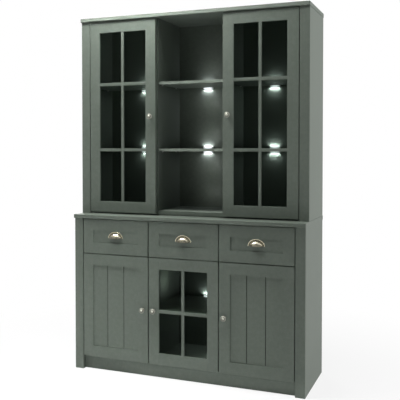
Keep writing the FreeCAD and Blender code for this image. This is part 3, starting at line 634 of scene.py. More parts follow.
class Maker:
    """Collects solids in one mesh and turns it into a piece that rides on a body."""

    edge_share: float = 0.3
    flat_angle: float = math.radians(0.5)

    def __init__(self, name: str) -> None:
        """Start an empty mesh.

        Args:
            name: Name of the piece, which also fixes its random draws.
        """
        self.name = name
        self.bm = bmesh.new()
        self.ease = self.bm.verts.layers.float.new("ease")
        self.tone = self.bm.verts.layers.float.new("tone")
        # Painted shade: darkens the lacquer's grooves and the shaded or dark-reflecting parts of knobs
        # and pulls
        self.painted_shade = self.bm.verts.layers.float.new("painted_shade")
        self.random = random.Random(name)

    def soften(self, edges: List[bmesh.types.BMEdge], width: float, steps: int = 2) -> None:
        """Round edges a little and mark the rounded strip.

        Args:
            edges: Edges to round.
            width: Width of the strip, in metres.
            steps: Faces across the strip.
        """
        made = bmesh.ops.bevel(self.bm, geom=edges, offset=width, offset_type="OFFSET",
                               segments=steps, profile=0.5, affect="EDGES", clamp_overlap=True,
                               loop_slide=True, material=-1)
        for face in made["faces"]:
            for vert in face.verts:
                vert[self.ease] = 1.0

    def block(self, x: Span, y: Span, z: Span, width: float = SOFT_EDGE, steps: int = 2) -> None:
        """Add one board with softened edges.

        Args:
            x: Low and high X.
            y: Low and high Y.
            z: Low and high Z.
            width: Width of the soft edge.
            steps: Faces across the soft edge.
        """
        size = Vector((x[1] - x[0], y[1] - y[0], z[1] - z[0]))
        middle = Vector((x[0] + x[1], y[0] + y[1], z[0] + z[1])) / 2
        matrix = Matrix.Translation(middle) @ Matrix.Diagonal((*size, 1.0))
        made = bmesh.ops.create_cube(self.bm, size=1.0, matrix=matrix)
        shade = self.random.random()
        for vert in made["verts"]:
            vert[self.tone] = shade
        edges = list({edge for vert in made["verts"] for edge in vert.link_edges})
        self.soften(edges, min(width, min(size) * self.edge_share), steps)

    def from_node(self, node: str, width: float, shortest: float = 7 * MM,
                  angle: float = 27.0) -> None:
        """Add a CAD node's shape with its long sharp edges softened.

        Args:
            node: Name of the node; each of its solids stands clear of the others.
            width: Width of the soft edge.
            shortest: Edges below this length stay as they are.
            angle: Edges below this angle, in degrees, stay as they are.
        """
        part = bmesh.new()
        part.from_mesh(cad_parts[node].data)
        bmesh.ops.remove_doubles(part, verts=part.verts, dist=WELD)
        bmesh.ops.dissolve_limit(part, angle_limit=self.flat_angle, verts=part.verts,
                                 edges=part.edges)
        mesh = bpy.data.meshes.new("part")
        part.to_mesh(mesh)
        part.free()
        old = set(self.bm.verts)
        self.bm.from_mesh(mesh)
        bpy.data.meshes.remove(mesh)
        fresh = [vert for vert in self.bm.verts if vert not in old]
        shade = self.random.random()
        for vert in fresh:
            vert[self.tone] = shade
        edges = []
        for edge in sorted({edge for vert in fresh for edge in vert.link_edges}, key=corner_key):
            if len(edge.link_faces) != 2:
                continue
            if edge.calc_face_angle(0.0) > math.radians(angle):
                if edge.calc_length() > shortest:
                    edges.append(edge)
                else:
                    edge.smooth = False
        self.soften(edges, width)

    def trim(self, x: Span, z: Span, by: float) -> None:
        """Take a little off the outer edges of an upright leaf.

        Args:
            x: Its low and high X.
            z: Its low and high Z.
            by: How much comes off each edge.
        """
        near = 3 * MM
        for vert in self.bm.verts:
            for axis, (low, high) in ((0, x), (2, z)):
                if vert.co[axis] < low + near:
                    vert.co[axis] += by
                elif vert.co[axis] > high - near:
                    vert.co[axis] -= by

    def mark_groove_shade(self, first: float, last: float) -> None:
        """Mark painted shade on the walls and floors of grooves, which lie between two depths.

        Args:
            first: Y from which a point counts as groove.
            last: Y up to which it does.
        """
        for vert in self.bm.verts:
            if first < vert.co.y < last:
                vert[self.painted_shade] = 1.0

    def prism(self, outline: Sequence[Tuple[float, float]], along: Along, reach: Span,
              width: float = SOFT_EDGE, angle: float = 40.0) -> None:
        """Draw an outline out along an axis and soften its sharp edges.

        Args:
            outline: Corners as X and Y pairs (along Z) or as Y and Z pairs (along X).
            along: The axis.
            reach: Low and high place on that axis.
            width: Width of the soft edge.
            angle: Edges below this angle, in degrees, stay as they are.
        """
        def spot(pair: Tuple[float, float], far: float) -> Point:
            """Put an outline corner in space."""
            return (*pair, far) if along is Along.Z else (far, *pair)

        ends = [[self.bm.verts.new(spot(pair, far)) for pair in outline] for far in reach]
        faces = [self.bm.faces.new(ends[0]), self.bm.faces.new(list(reversed(ends[1])))]
        count = len(outline)
        for index in range(count):
            after = (index + 1) % count
            faces.append(self.bm.faces.new((ends[0][after], ends[0][index], ends[1][index],
                                            ends[1][after])))
        bmesh.ops.recalc_face_normals(self.bm, faces=faces)
        shade = self.random.random()
        edges = []
        for vert in ends[0] + ends[1]:
            vert[self.tone] = shade
        for edge in sorted({edge for face in faces for edge in face.edges}, key=corner_key):
            if edge.calc_face_angle(0.0) > math.radians(angle):
                edges.append(edge)
        self.soften(edges, width)

    def skin(self, rows: List[List[Point]], shade_marks: Sequence[Sequence[float]],
             closed: bool = False) -> None:
        """Join rows of points with faces.

        Args:
            rows: Rows of the same length.
            shade_marks: Painted shade of each point, row by row.
            closed: Whether each row joins up with its own start.
        """
        verts = [[self.bm.verts.new(point) for point in row] for row in rows]
        for row, marks in zip(verts, shade_marks):
            for vert, mark in zip(row, marks):
                vert[self.painted_shade] = mark
        count = len(rows[0])
        for low, high in zip(verts, verts[1:]):
            for index in range(count if closed else count - 1):
                after = (index + 1) % count
                self.bm.faces.new((low[index], low[after], high[after], high[index]))

    def lathe(self, profile: Sequence[Point], centre: Point, axis: Point, steps: int) -> None:
        """Turn a profile about an axis.

        Args:
            profile: Distance along the axis, radius and painted shade of each point.
            centre: Start of the axis.
            axis: Its direction.
            steps: Faces around.
        """
        turn = Vector(axis).to_track_quat("Z", "Y").to_matrix()
        rows = []
        for along, radius, _ in profile:
            row = []
            for index in range(steps):
                angle = 2 * math.pi * index / steps
                spot = turn @ Vector((radius * math.cos(angle), radius * math.sin(angle), along))
                row.append(tuple(Vector(centre) + spot))
            rows.append(row)
        self.skin(rows, [[mark] * steps for _, _, mark in profile], closed=True)

    def tidy(self, weld: float = WELD) -> None:
        """Merge doubles and point the faces outwards."""
        bmesh.ops.remove_doubles(self.bm, verts=self.bm.verts, dist=weld)
        bmesh.ops.recalc_face_normals(self.bm, faces=self.bm.faces)

    def done(self, body: str, finish: Finish, *nodes: str) -> bpy.types.Object:
        """Make the piece.

        Args:
            body: CAD body that it rides on.
            finish: Its finish.
            nodes: CAD nodes that it stands for.

        Returns:
            The new object.
        """
        for face in self.bm.faces:
            face.smooth = True
        raw = bpy.data.meshes.new(self.name + "_raw")
        self.bm.to_mesh(raw)
        self.bm.free()
        holder = bpy.data.objects.new(self.name + "_raw", raw)
        bpy.context.scene.collection.objects.link(holder)
        weigh = holder.modifiers.new("flat_faces_lead", "WEIGHTED_NORMAL")
        weigh.keep_sharp = True
        graph = bpy.context.evaluated_depsgraph_get()
        mesh = bpy.data.meshes.new_from_object(holder.evaluated_get(graph))
        mesh.name = self.name
        bpy.data.objects.remove(holder)
        bpy.data.meshes.remove(raw)
        return dress(self.name, mesh, body, finish, *nodes)


def dress(name: str, mesh: bpy.types.Mesh, body: str, finish: Finish,
          *nodes: str) -> bpy.types.Object:
    """Put a mesh in the scene as a finished piece.

    Args:
        name: Name of the piece.
        mesh: Its mesh, already in place.
        body: CAD body that it rides on.
        finish: Its finish.
        nodes: CAD nodes that it stands for.

    Returns:
        The new object.
    """
    mesh.materials.clear()
    mesh.materials.append(finish.material())
    piece = bpy.data.objects.new(name, mesh)
    bpy.context.scene.collection.objects.link(piece)
    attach(piece, body)
    if nodes:
        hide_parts(*nodes)
    LOG.info("%s: %d faces on %s", name, len(mesh.polygons), body)
    return piece


def paint_node(node: str, finish: Finish) -> None:
    """Give a CAD node that is shown as it is its finish.

    Args:
        node: Name of the node.
        finish: Its finish.
    """
    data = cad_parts[node].data
    data.materials.clear()
    data.materials.append(finish.material())
    for face in data.polygons:
        face.material_index = 0
    LOG.info("%s: painted", node)


def smooth_node(node: str, body: str, finish: Finish, width: float = 0.25 * MM) -> None:
    """Stand a smoothed copy in for a CAD node of small parts.

    Args:
        node: Name of the node.
        body: CAD body that it is on.
        finish: Its finish.
        width: Width of its soft edges.
    """
    maker = Maker(node + "_smooth")
    maker.from_node(node, width, shortest=4 * width, angle=35.0)
    maker.done(body, finish, node)


def span_of(node: str) -> Box:
    """Low and high X, Y and Z of a CAD node."""
    low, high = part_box(node)
    return (low.x, high.x), (low.y, high.y), (low.z, high.z)


# Lamp helpers

def area_light(name: str, size: Tuple[float, float], power: float) -> bpy.types.Light:
    """Make the settings of a rectangular lamp.

    Args:
        name: Its name.
        size: Width and height.
        power: Power in watts.

    Returns:
        The settings.
    """
    light = bpy.data.lights.new(name, "AREA")
    light.shape = "RECTANGLE"
    light.size = size[0]
    light.size_y = size[1]
    light.energy = power
    return light


def hang(light: bpy.types.Light, at: Point, way: Sequence[float]) -> bpy.types.Object:
    """Put a lamp in the scene.

    Args:
        light: Its settings.
        at: Where it hangs.
        way: Which way it shines.

    Returns:
        The new object.
    """
    lamp = bpy.data.objects.new(light.name, light)
    lamp.location = at
    lamp.rotation_mode = "QUATERNION"
    lamp.rotation_quaternion = Vector(way).to_track_quat("-Z", "Y")
    bpy.context.scene.collection.objects.link(lamp)
    return lamp


# Repeated small pieces, made by Geometry Nodes

# Shape of a head, as shares of its radius and height, and how finely it is cut
HEAD_SIDES = 20
HEAD_TOP = 0.72
SLOT_LONG = 1.15
SLOT_WIDE = 0.2
SLOT_TALL = 1.2
SLOT_LIFT = 1.1
DOT_SIDES = 16
DOT_RINGS = 8

# Fixes how far each head is turned
TURN_SEED = 7


class StudKind(Enum):
    """What a repeated small piece looks like."""

    SCREW = "screw"
    DOT = "dot"


def stud_tree(kind: StudKind) -> bpy.types.NodeTree:
    """Build the tree that sets one small head on each point.

    Args:
        kind: A cross-head screw or a plain domed dot.

    Returns:
        The tree, with inputs for its sizes and its material.
    """
    name = "set_" + kind.value
    known = bpy.data.node_groups.get(name)
    if known:
        return known
    tree = bpy.data.node_groups.new(name, "GeometryNodeTree")
    face = tree.interface
    face.new_socket("Points", in_out="INPUT", socket_type="NodeSocketGeometry")
    face.new_socket("Radius", in_out="INPUT", socket_type="NodeSocketFloat")
    face.new_socket("Height", in_out="INPUT", socket_type="NodeSocketFloat")
    face.new_socket("Material", in_out="INPUT", socket_type="NodeSocketMaterial")
    face.new_socket("Heads", in_out="OUTPUT", socket_type="NodeSocketGeometry")
    book = NodeBook(tree)
    given = book.add("NodeGroupInput")
    radius = book.out(given, "Radius")
    height = book.out(given, "Height")
    if kind is StudKind.SCREW:
        cone = book.add("GeometryNodeMeshCone", {"fill_type": "NGON"},
                        {"Vertices": HEAD_SIDES, "Radius Top": radius * HEAD_TOP,
                         "Radius Bottom": radius, "Depth": height})
        bars = []
        for long, short in ((SLOT_LONG, SLOT_WIDE), (SLOT_WIDE, SLOT_LONG)):
            size = book.add("ShaderNodeCombineXYZ", None,
                            {0: radius * long, 1: radius * short, 2: height * SLOT_TALL})
            bar = book.add("GeometryNodeMeshCube", None, {"Size": book.out(size, 0)})
            lift = book.add("ShaderNodeCombineXYZ", None, {2: height * SLOT_LIFT})
            bars.append(book.add("GeometryNodeTransform", None,
                                 {"Geometry": book.out(bar, 0), "Translation": book.out(lift, 0)}))
        both = book.add("GeometryNodeMeshBoolean", {"operation": "UNION"})
        for bar in bars:
            tree.links.new(bar.outputs[0], both.inputs["Mesh 2"])
        head = book.add("GeometryNodeMeshBoolean", {"operation": "DIFFERENCE"},
                        {"Mesh 1": book.out(cone, 0), "Mesh 2": book.out(both, 0)})
    else:
        ball = book.add("GeometryNodeMeshUVSphere", None,
                        {"Segments": DOT_SIDES, "Rings": DOT_RINGS, "Radius": 1.0})
        size = book.add("ShaderNodeCombineXYZ", None, {0: radius, 1: radius, 2: height})
        flat = book.add("GeometryNodeTransform", None,
                        {"Geometry": book.out(ball, 0), "Scale": book.out(size, 0)})
        head = book.add("GeometryNodeSetShadeSmooth", None, {"Geometry": book.out(flat, 0)})
    facing = book.add("GeometryNodeInputNamedAttribute", {"data_type": "FLOAT_VECTOR"},
                      {"Name": "facing"})
    aim = book.add("FunctionNodeAlignRotationToVector", {"axis": "Z"},
                   {"Vector": book.out(facing, 0)})
    turn = book.add("FunctionNodeRandomValue", {"data_type": "FLOAT"},
                    {2: 0.0, 3: math.pi, "Seed": TURN_SEED})
    spin = book.add("FunctionNodeAxisAngleToRotation", None,
                    {"Axis": (0.0, 0.0, 1.0), "Angle": book.out(turn, 1)})
    both_turns = book.add("FunctionNodeRotateRotation", {"rotation_space": "LOCAL"},
                          {"Rotation": book.out(aim, 0), "Rotate By": book.out(spin, 0)})
    heads = book.add("GeometryNodeInstanceOnPoints", None,
                     {"Points": book.out(given, "Points"), "Instance": book.out(head, 0),
                      "Rotation": book.out(both_turns, 0)})
    real = book.add("GeometryNodeRealizeInstances", None, {"Geometry": book.out(heads, 0)})
    dressed = book.add("GeometryNodeSetMaterial", None,
                       {"Geometry": book.out(real, 0), "Material": book.out(given, "Material")})
    book.add("NodeGroupOutput", None, {0: book.out(dressed, 0)})
    return tree


@dataclass
class StudSet:
    """Small heads on one body, all of one kind and size."""

    name: str
    body: str
    kind: StudKind
    radius: float
    height: float
    finish: Finish
    spots: List[Spot]

    def build(self) -> bpy.types.Object:
        """Set the heads with Geometry Nodes and keep them as a plain mesh.

        Returns:
            The piece.
        """
        points = bpy.data.meshes.new(self.name + "_points")
        points.from_pydata([spot for spot, _ in self.spots], [], [])
        facing = points.attributes.new("facing", "FLOAT_VECTOR", "POINT")
        for index, (_, way) in enumerate(self.spots):
            facing.data[index].vector = way
        holder = bpy.data.objects.new(self.name + "_points", points)
        bpy.context.scene.collection.objects.link(holder)
        tree = stud_tree(self.kind)
        modifier = holder.modifiers.new("heads", "NODES")
        modifier.node_group = tree
        values = {"Radius": self.radius, "Height": self.height, "Material": self.finish.material()}
        for item in tree.interface.items_tree:
            if item.in_out == "INPUT" and item.name in values:
                modifier[item.identifier] = values[item.name]
        graph = bpy.context.evaluated_depsgraph_get()
        mesh = bpy.data.meshes.new_from_object(holder.evaluated_get(graph))
        mesh.name = self.name
        holder.modifiers.remove(modifier)
        bpy.data.objects.remove(holder)
        bpy.data.meshes.remove(points)
        return dress(self.name, mesh, self.body, self.finish)


# Sub-assemblies

# Share of the knob's length, share of its radius, and the painted shade there: darkened at the neck,
# the underside, the far side of the rim and a ring in the front dish, for shade and the dark side of
# reflections
KNOB_PROFILE = (
    (0.0, 0.0, 0.0), (0.0, 0.66, 0.0), (0.035, 0.67, 0.0), (0.075, 0.66, 0.1), (0.1, 0.6, 0.5),
    (0.115, 0.52, 1.0), (0.14, 0.52, 0.9), (0.16, 0.48, 0.7), (0.2, 0.41, 0.5), (0.27, 0.37, 0.4),
    (0.34, 0.38, 0.5), (0.4, 0.44, 0.8), (0.425, 0.52, 1.0), (0.44, 0.62, 1.0), (0.46, 0.75, 1.0),
    (0.5, 0.88, 1.0), (0.55, 0.96, 0.9), (0.61, 0.995, 0.75), (0.66, 1.0, 0.5), (0.71, 0.985, 0.2),
    (0.765, 0.94, 0.0), (0.8, 0.87, 0.1), (0.81, 0.8, 0.4), (0.8, 0.74, 0.8), (0.79, 0.67, 1.0),
    (0.795, 0.6, 1.0), (0.83, 0.55, 0.6), (0.88, 0.5, 0.1), (0.93, 0.42, 0.0), (0.97, 0.3, 0.0),
    (0.992, 0.15, 0.0), (1.0, 0.0, 0.0),
)

# Share of the flange's width, share of its height, and the painted shade there, dark in the groove by
# the bowl
FLANGE_PROFILE = (
    (0.0, 0.0, 0.0), (1.0, 0.0, 0.0), (1.0, 0.3, 0.0), (0.96, 0.6, 0.0), (0.86, 0.85, 0.0),
    (0.72, 0.98, 0.0), (0.58, 1.0, 0.0), (0.44, 0.92, 0.0), (0.32, 0.7, 0.1), (0.24, 0.4, 0.6),
    (0.18, 0.2, 1.0), (-0.1, 0.16, 1.0), (-0.4, 0.16, 1.0), (-0.5, 0.3, 1.0),
)


@dataclass
class Knob:
    """A turned knob on the face of a door."""

    node: str
    body: str
    steps: int = 48

    def build(self) -> None:
        """Turn the knob to a fuller profile than the solid's."""
        x, y, z = span_of(self.node)
        reach = y[1] - y[0]
        big = (x[1] - x[0]) / 2
        centre = ((x[0] + x[1]) / 2, y[1], (z[0] + z[1]) / 2)
        # The third column of the profile becomes painted shade and painted reflection on the turned
        # knob
        profile = [(along * reach, radius * big, dark) for along, radius, dark in KNOB_PROFILE]
        maker = Maker(self.node + "_turned")
        maker.lathe(profile, centre, FORWARD, self.steps)
        maker.tidy()
        maker.done(self.body, KNOB_NICKEL, self.node)


@dataclass
class CupPull:
    """A cup pull: a thin bowl open below, with a beaded flange and a rolled lip."""

    node: str
    body: str
    flange: float = 6 * MM
    rim: float = 3.2 * MM
    step: float = 3.2 * MM
    ring: float = 0.9 * MM
    wall: float = 2 * MM
    lip: float = 1.1 * MM
    lip_flat: float = 0.9
    lip_turn: float = 0.985
    # Painted shade on the lip, which dims its highlight
    lip_painted_shade: float = 0.5
    lip_sides: int = 10
    ring_at: float = 0.7
    ring_wide: float = 0.07
    # Painted shade of the bowl: dark near the wall, a bright crown as a painted highlight, a dark ring,
    # then dark again towards the lip
    dark_to: float = 0.26
    dark_again: float = 0.58
    dark_over: float = 0.14
    dark_below: float = 0.85
    around: int = 40
    down: int = 30

    def __post_init__(self) -> None:
        """Read the bowl's place and size from the solid."""
        x, y, z = span_of(self.node)
        self.mid = (x[0] + x[1]) / 2
        self.half = (x[1] - x[0]) / 2 - self.flange
        self.tall = (z[1] - z[0]) - self.flange
        self.reach = y[1] - y[0]
        self.back = y[1]
        self.foot = z[0]

    def turns(self, share: float = 1.0) -> List[float]:
        """Angles across the bowl, from its left end to its right."""
        return [math.pi * share * (index / self.around - 0.5) for index in range(self.around + 1)]

    def shaded(self, share: float) -> float:
        """How dark the bowl is painted, as shade and as the dark side of its reflections.

        Args:
            share: Place from the wall (0) over the crown, left bright as a painted highlight, to the
                lip (1).

        Returns:
            Nought where it is bright and one where it is dark.
        """
        ring = 1.0 - abs(share - self.ring_at) / self.ring_wide
        below = min(self.dark_below, (share - self.dark_again) / self.dark_over)
        return max(1.0 - share / self.dark_to, below, ring, 0.0)

    def bowl(self, inset: float, turn: float, drop: float) -> Point:
        """A point of the bowl.

        Args:
            inset: How far it lies inside the outer face.
            turn: Angle across the bowl.
            drop: Angle down from the wall (0) to the lip (a quarter turn).

        Returns:
            Its place.
        """
        off = abs(drop / QUARTER - self.ring_at) / self.ring_wide
        inset += self.ring * max(0.0, 1.0 - off * off)
        return (self.mid + (self.half - self.step - inset) * math.sin(turn),
                self.back - (self.reach - inset) * math.cos(turn) * math.sin(drop),
                self.foot + (self.tall - self.step - inset) * math.cos(turn) * math.cos(drop))

    def add_bowl(self, maker: Maker, inset: float, least: float) -> None:
        """Skin one face of the bowl.

        Args:
            maker: Where it goes.
            inset: How far it lies inside the outer face.
            least: The least painted shade on this face.
        """
        rows = []
        darks = []
        for level in range(self.down + 1):
            share = level / self.down
            rows.append([self.bowl(inset, turn, QUARTER * share) for turn in self.turns()])
            darks.append([max(least, self.shaded(share))] * (self.around + 1))
        maker.skin(rows, darks)

    def add_lip(self, maker: Maker) -> None:
        """Roll the lip along the open edge.

        Args:
            maker: Where it goes.
        """
        rows = []
        for turn in self.turns(self.lip_turn):
            centre = Vector(self.bowl(self.wall / 2, turn, QUARTER))
            out = Vector((math.sin(turn), -math.cos(turn), 0.0))
            ring = []
            for side in range(self.lip_sides):
                angle = 2 * math.pi * side / self.lip_sides
                lift = Vector((0.0, 0.0, self.lip + self.lip * math.sin(angle)))
                ring.append(tuple(centre + out * (self.lip * math.cos(angle) * self.lip_flat) + lift))
            rows.append(ring)
        maker.skin(rows, [[self.lip_painted_shade] * self.lip_sides] * len(rows), closed=True)

    def add_flange(self, maker: Maker) -> None:
        """Skin the flange round the bowl.

        Args:
            maker: Where it goes.
        """
        rows = []
        for turn in self.turns():
            ring = []
            for out, up, _ in FLANGE_PROFILE:
                grow = self.flange * out
                ring.append((self.mid + (self.half + grow) * math.sin(turn), self.back - self.rim * up,
                             self.foot + (self.tall + grow) * math.cos(turn)))
            rows.append(ring)
        maker.skin(rows, [[dark for _, _, dark in FLANGE_PROFILE]] * len(rows))

    def build(self) -> None:
        """Skin the bowl outside and inside, its lip and its flange."""
        maker = Maker(self.node + "_cast")
        self.add_bowl(maker, 0.0, 0.0)
        # The inner face is painted fully dark as shade
        self.add_bowl(maker, self.wall, 1.0)
        self.add_lip(maker)
        self.add_flange(maker)
        maker.tidy(2 * WELD)
        maker.done(self.body, NICKEL, self.node)


@dataclass
class GlazedDoor:
    """A door frame with glazing bars, its pane, beads and hinge cups."""

    body: str
    bars: Sequence[float]
    frame_width: float = 62 * MM
    bar: float = 17 * MM
    bar_back: float = 1 * MM
    pane_at: float = 8 * MM
    pane: float = 4 * MM
    rebate: float = 8 * MM
    corner: float = 1.2 * MM
    corner_steps: int = 5
    edge: float = 0.6 * MM
    trim: float = 0.8 * MM
    bar_round: float = 1.4 * MM
    bead_round: float = 1.6 * MM
    round_steps: int = 3

    def arc(self, centre: Tuple[float, float], start: float) -> List[Tuple[float, float]]:
        """Points of a rounded corner.

        Args:
            centre: Centre of the arc.
            start: Angle of its first point, in degrees; it turns a quarter from there.

        Returns:
            The points.
        """
        turns = [math.radians(start) + QUARTER * step / self.corner_steps
                 for step in range(self.corner_steps + 1)]
        return [(centre[0] + self.corner * math.cos(turn), centre[1] + self.corner * math.sin(turn))
                for turn in turns]

    def stile(self, maker: Maker, x: Span, y: Span, z: Span) -> None:
        """Add one upright with round outer edges and a rebate behind.

        Args:
            maker: Where it goes.
            x: Outer and inner X.
            y: Front and back Y.
            z: Low and high Z.
        """
        way = 1.0 if x[1] > x[0] else -1.0
        round_x = x[0] + way * self.corner
        pane = y[0] + self.pane_at
        first = self.arc((round_x, y[0] + self.corner), 180.0 if way > 0 else 270.0)
        last = self.arc((round_x, y[1] - self.corner), 90.0 if way > 0 else 0.0)
        step = [(x[1], y[0]), (x[1], pane), (x[1] - way * self.rebate, pane),
                (x[1] - way * self.rebate, y[1])]
        if way > 0:
            outline = first + step + last
        else:
            outline = first[::-1] + step + last[::-1]
        maker.prism(outline, Along.Z, z, self.edge)

    def rail(self, maker: Maker, x: Span, y: Span, z: Span) -> None:
        """Add one cross piece with a rebate behind.

        Args:
            maker: Where it goes.
            x: Low and high X.
            y: Front and back Y.
            z: Outer and inner Z.
        """
        way = 1.0 if z[1] > z[0] else -1.0
        pane = y[0] + self.pane_at
        maker.prism([(y[0], z[0]), (y[0], z[1]), (pane, z[1]), (pane, z[1] - way * self.rebate),
                     (y[1], z[1] - way * self.rebate), (y[1], z[0])], Along.X, x, self.edge)

    def build(self) -> None:
        """Build the frame, bars and beads, paint the pane and smooth the hinge cups."""
        x, y, z = span_of(self.body + "_frame")
        inner_x = (x[0] + self.frame_width, x[1] - self.frame_width)
        inner_z = (z[0] + self.frame_width, z[1] - self.frame_width)
        pane = (y[0] + self.pane_at, y[0] + self.pane_at + self.pane)
        x = (x[0] + self.trim, x[1] - self.trim)
        z = (z[0] + self.trim, z[1] - self.trim)
        joinery = Maker(self.body + "_joinery")
        self.stile(joinery, (x[0], inner_x[0]), y, z)
        self.stile(joinery, (x[1], inner_x[1]), y, z)
        self.rail(joinery, inner_x, y, (z[0], inner_z[0]))
        self.rail(joinery, inner_x, y, (z[1], inner_z[1]))
        middle = (x[0] + x[1]) / 2
        half = self.bar / 2
        deep = (y[0] + self.bar_back, pane[0])
        bar_edge = (self.bar_round, self.round_steps)
        joinery.block((middle - half, middle + half), deep, inner_z, *bar_edge)
        for level in self.bars:
            up = (level - half, level + half)
            joinery.block((inner_x[0], middle - half + self.bar_round), deep, up, *bar_edge)
            joinery.block((middle + half - self.bar_round, inner_x[1]), deep, up, *bar_edge)
        joinery.done(self.body, LACQUER, self.body + "_frame")
        beads = Maker(self.body + "_bead_strips")
        wide = (inner_x[0] - self.rebate, inner_x[1] + self.rebate)
        tall = (inner_z[0] - self.rebate, inner_z[1] + self.rebate)
        behind = (pane[1], y[1])
        bead_edge = (self.bead_round, self.round_steps)
        beads.block((wide[0], inner_x[0]), behind, tall, *bead_edge)
        beads.block((inner_x[1], wide[1]), behind, tall, *bead_edge)
        beads.block(inner_x, behind, (tall[0], inner_z[0]), *bead_edge)
        beads.block(inner_x, behind, (inner_z[1], tall[1]), *bead_edge)
        beads.done(self.body, LACQUER, self.body + "_beads")
        paint_node(self.body + "_glass", GLASS)
        smooth_node(self.body + "_hinge_cups", self.body, HINGE_STEEL)


@dataclass
class PanelDoor:
    """A one-piece door leaf with a sunk, grooved field."""

    body: str
    edge: float = 0.6 * MM
    trim: float = 0.8 * MM
    groove_from: float = 6.3 * MM

    def build(self) -> None:
        """Soften and trim the leaf, mark its grooves for painted shade and smooth the hinge cups."""
        maker = Maker(self.body + "_panel")
        maker.from_node(self.body + "_leaf", self.edge)
        x, y, z = span_of(self.body + "_leaf")
        maker.trim(x, z, self.trim)
        # The groove walls and floors get painted shade
        maker.mark_groove_shade(y[0] + self.groove_from, y[1] - self.groove_from)
        maker.done(self.body, LACQUER, self.body + "_leaf")
        smooth_node(self.body + "_hinge_cups", self.body, HINGE_STEEL)


@dataclass
class Drawer:
    """A drawer: sunk front, box of thin boards and runner rails."""

    body: str
    wall: float = 12 * MM
    bottom: float = 4 * MM
    bottom_up: float = 10 * MM
    bottom_bite: float = 0.2 * MM
    bottom_edge: float = 0.3 * MM
    board_edge: float = 0.8 * MM
    edge: float = 0.6 * MM
    trim: float = 0.8 * MM

    def build(self) -> None:
        """Soften and trim the front, build the box and smooth the rails."""
        front = Maker(self.body + "_panel")
        front.from_node(self.body + "_front", self.edge)
        x, _, z = span_of(self.body + "_front")
        front.trim(x, z, self.trim)
        front.done(self.body, LACQUER, self.body + "_front")
        x, y, z = span_of(self.body + "_box")
        box = Maker(self.body + "_boards")
        inner = (x[0] + self.wall, x[1] - self.wall)
        floor = (z[0] + self.bottom_up, z[0] + self.bottom_up + self.bottom)
        box.block((x[0], inner[0]), y, z, self.board_edge)
        box.block((inner[1], x[1]), y, z, self.board_edge)
        box.block(inner, (y[1] - self.wall, y[1]), (floor[1], z[1]), self.board_edge)
        box.block((inner[0] - self.bottom_bite, inner[1] + self.bottom_bite), y, floor,
                  self.bottom_edge)
        box.done(self.body, DRAWER_FOIL, self.body + "_box")
        smooth_node(self.body + "_runners", self.body, RUNNER_STEEL)


@dataclass
class Carcass:
    """All fixed boards of both units."""

    edge: float = SOFT_EDGE

    def build(self) -> None:
        """Soften every board and smooth the blocks, pins, hinge arms and channels."""
        boards = [
            "base_left_side", "base_right_side", "base_left_divider", "base_right_divider",
            "base_floor", "plinth", "base_back", "worktop", "base_stiles", "drawer_rails",
            "base_shelves", "upper_left_side", "upper_right_side", "upper_left_divider",
            "upper_right_divider", "upper_floor", "upper_back", "cornice", "upper_stiles",
            "upper_shelves",
        ]
        for board in boards:
            maker = Maker(board + "_board")
            maker.from_node(board, self.edge)
            maker.done("cabinet", LACQUER, board)
        smooth_node("packing_blocks", "cabinet", LACQUER, self.edge)
        smooth_node("shelf_pins", "cabinet", HINGE_STEEL)
        smooth_node("hinge_arms", "cabinet", HINGE_STEEL)
        smooth_node("runner_channels", "cabinet", RUNNER_STEEL)


@dataclass
class Edging:
    """Smooth tape along the front edges of the shelves and the cornice, in a lighter green that paints
    the highlight these edges catch.
    """

    thick: float = 0.5 * MM
    bite: float = 0.3 * MM
    round_off: float = 3 * MM
    edge: float = 0.3 * MM

    def build(self) -> None:
        """Lay one strip on each shelf and one on the cornice between its rounded edges."""
        tape = Maker("shelf_edging")
        x, y, z = span_of("cornice")
        tape.block((x[0] + self.round_off, x[1] - self.round_off),
                   (y[0] - self.thick, y[0] + self.bite),
                   (z[0] + self.round_off, z[1] - self.round_off), self.edge)
        for node in ("base_shelves", "upper_shelves"):
            for x, y, z in solids_of(node):
                tape.block((x[0] + self.bite, x[1] - self.bite),
                           (y[0] - self.thick, y[0] + self.bite),
                           (z[0] + self.bite, z[1] - self.bite), self.edge)
        # Lighter green tape: painted highlight on the front edges
        tape.done("cabinet", EDGE_HIGHLIGHT)


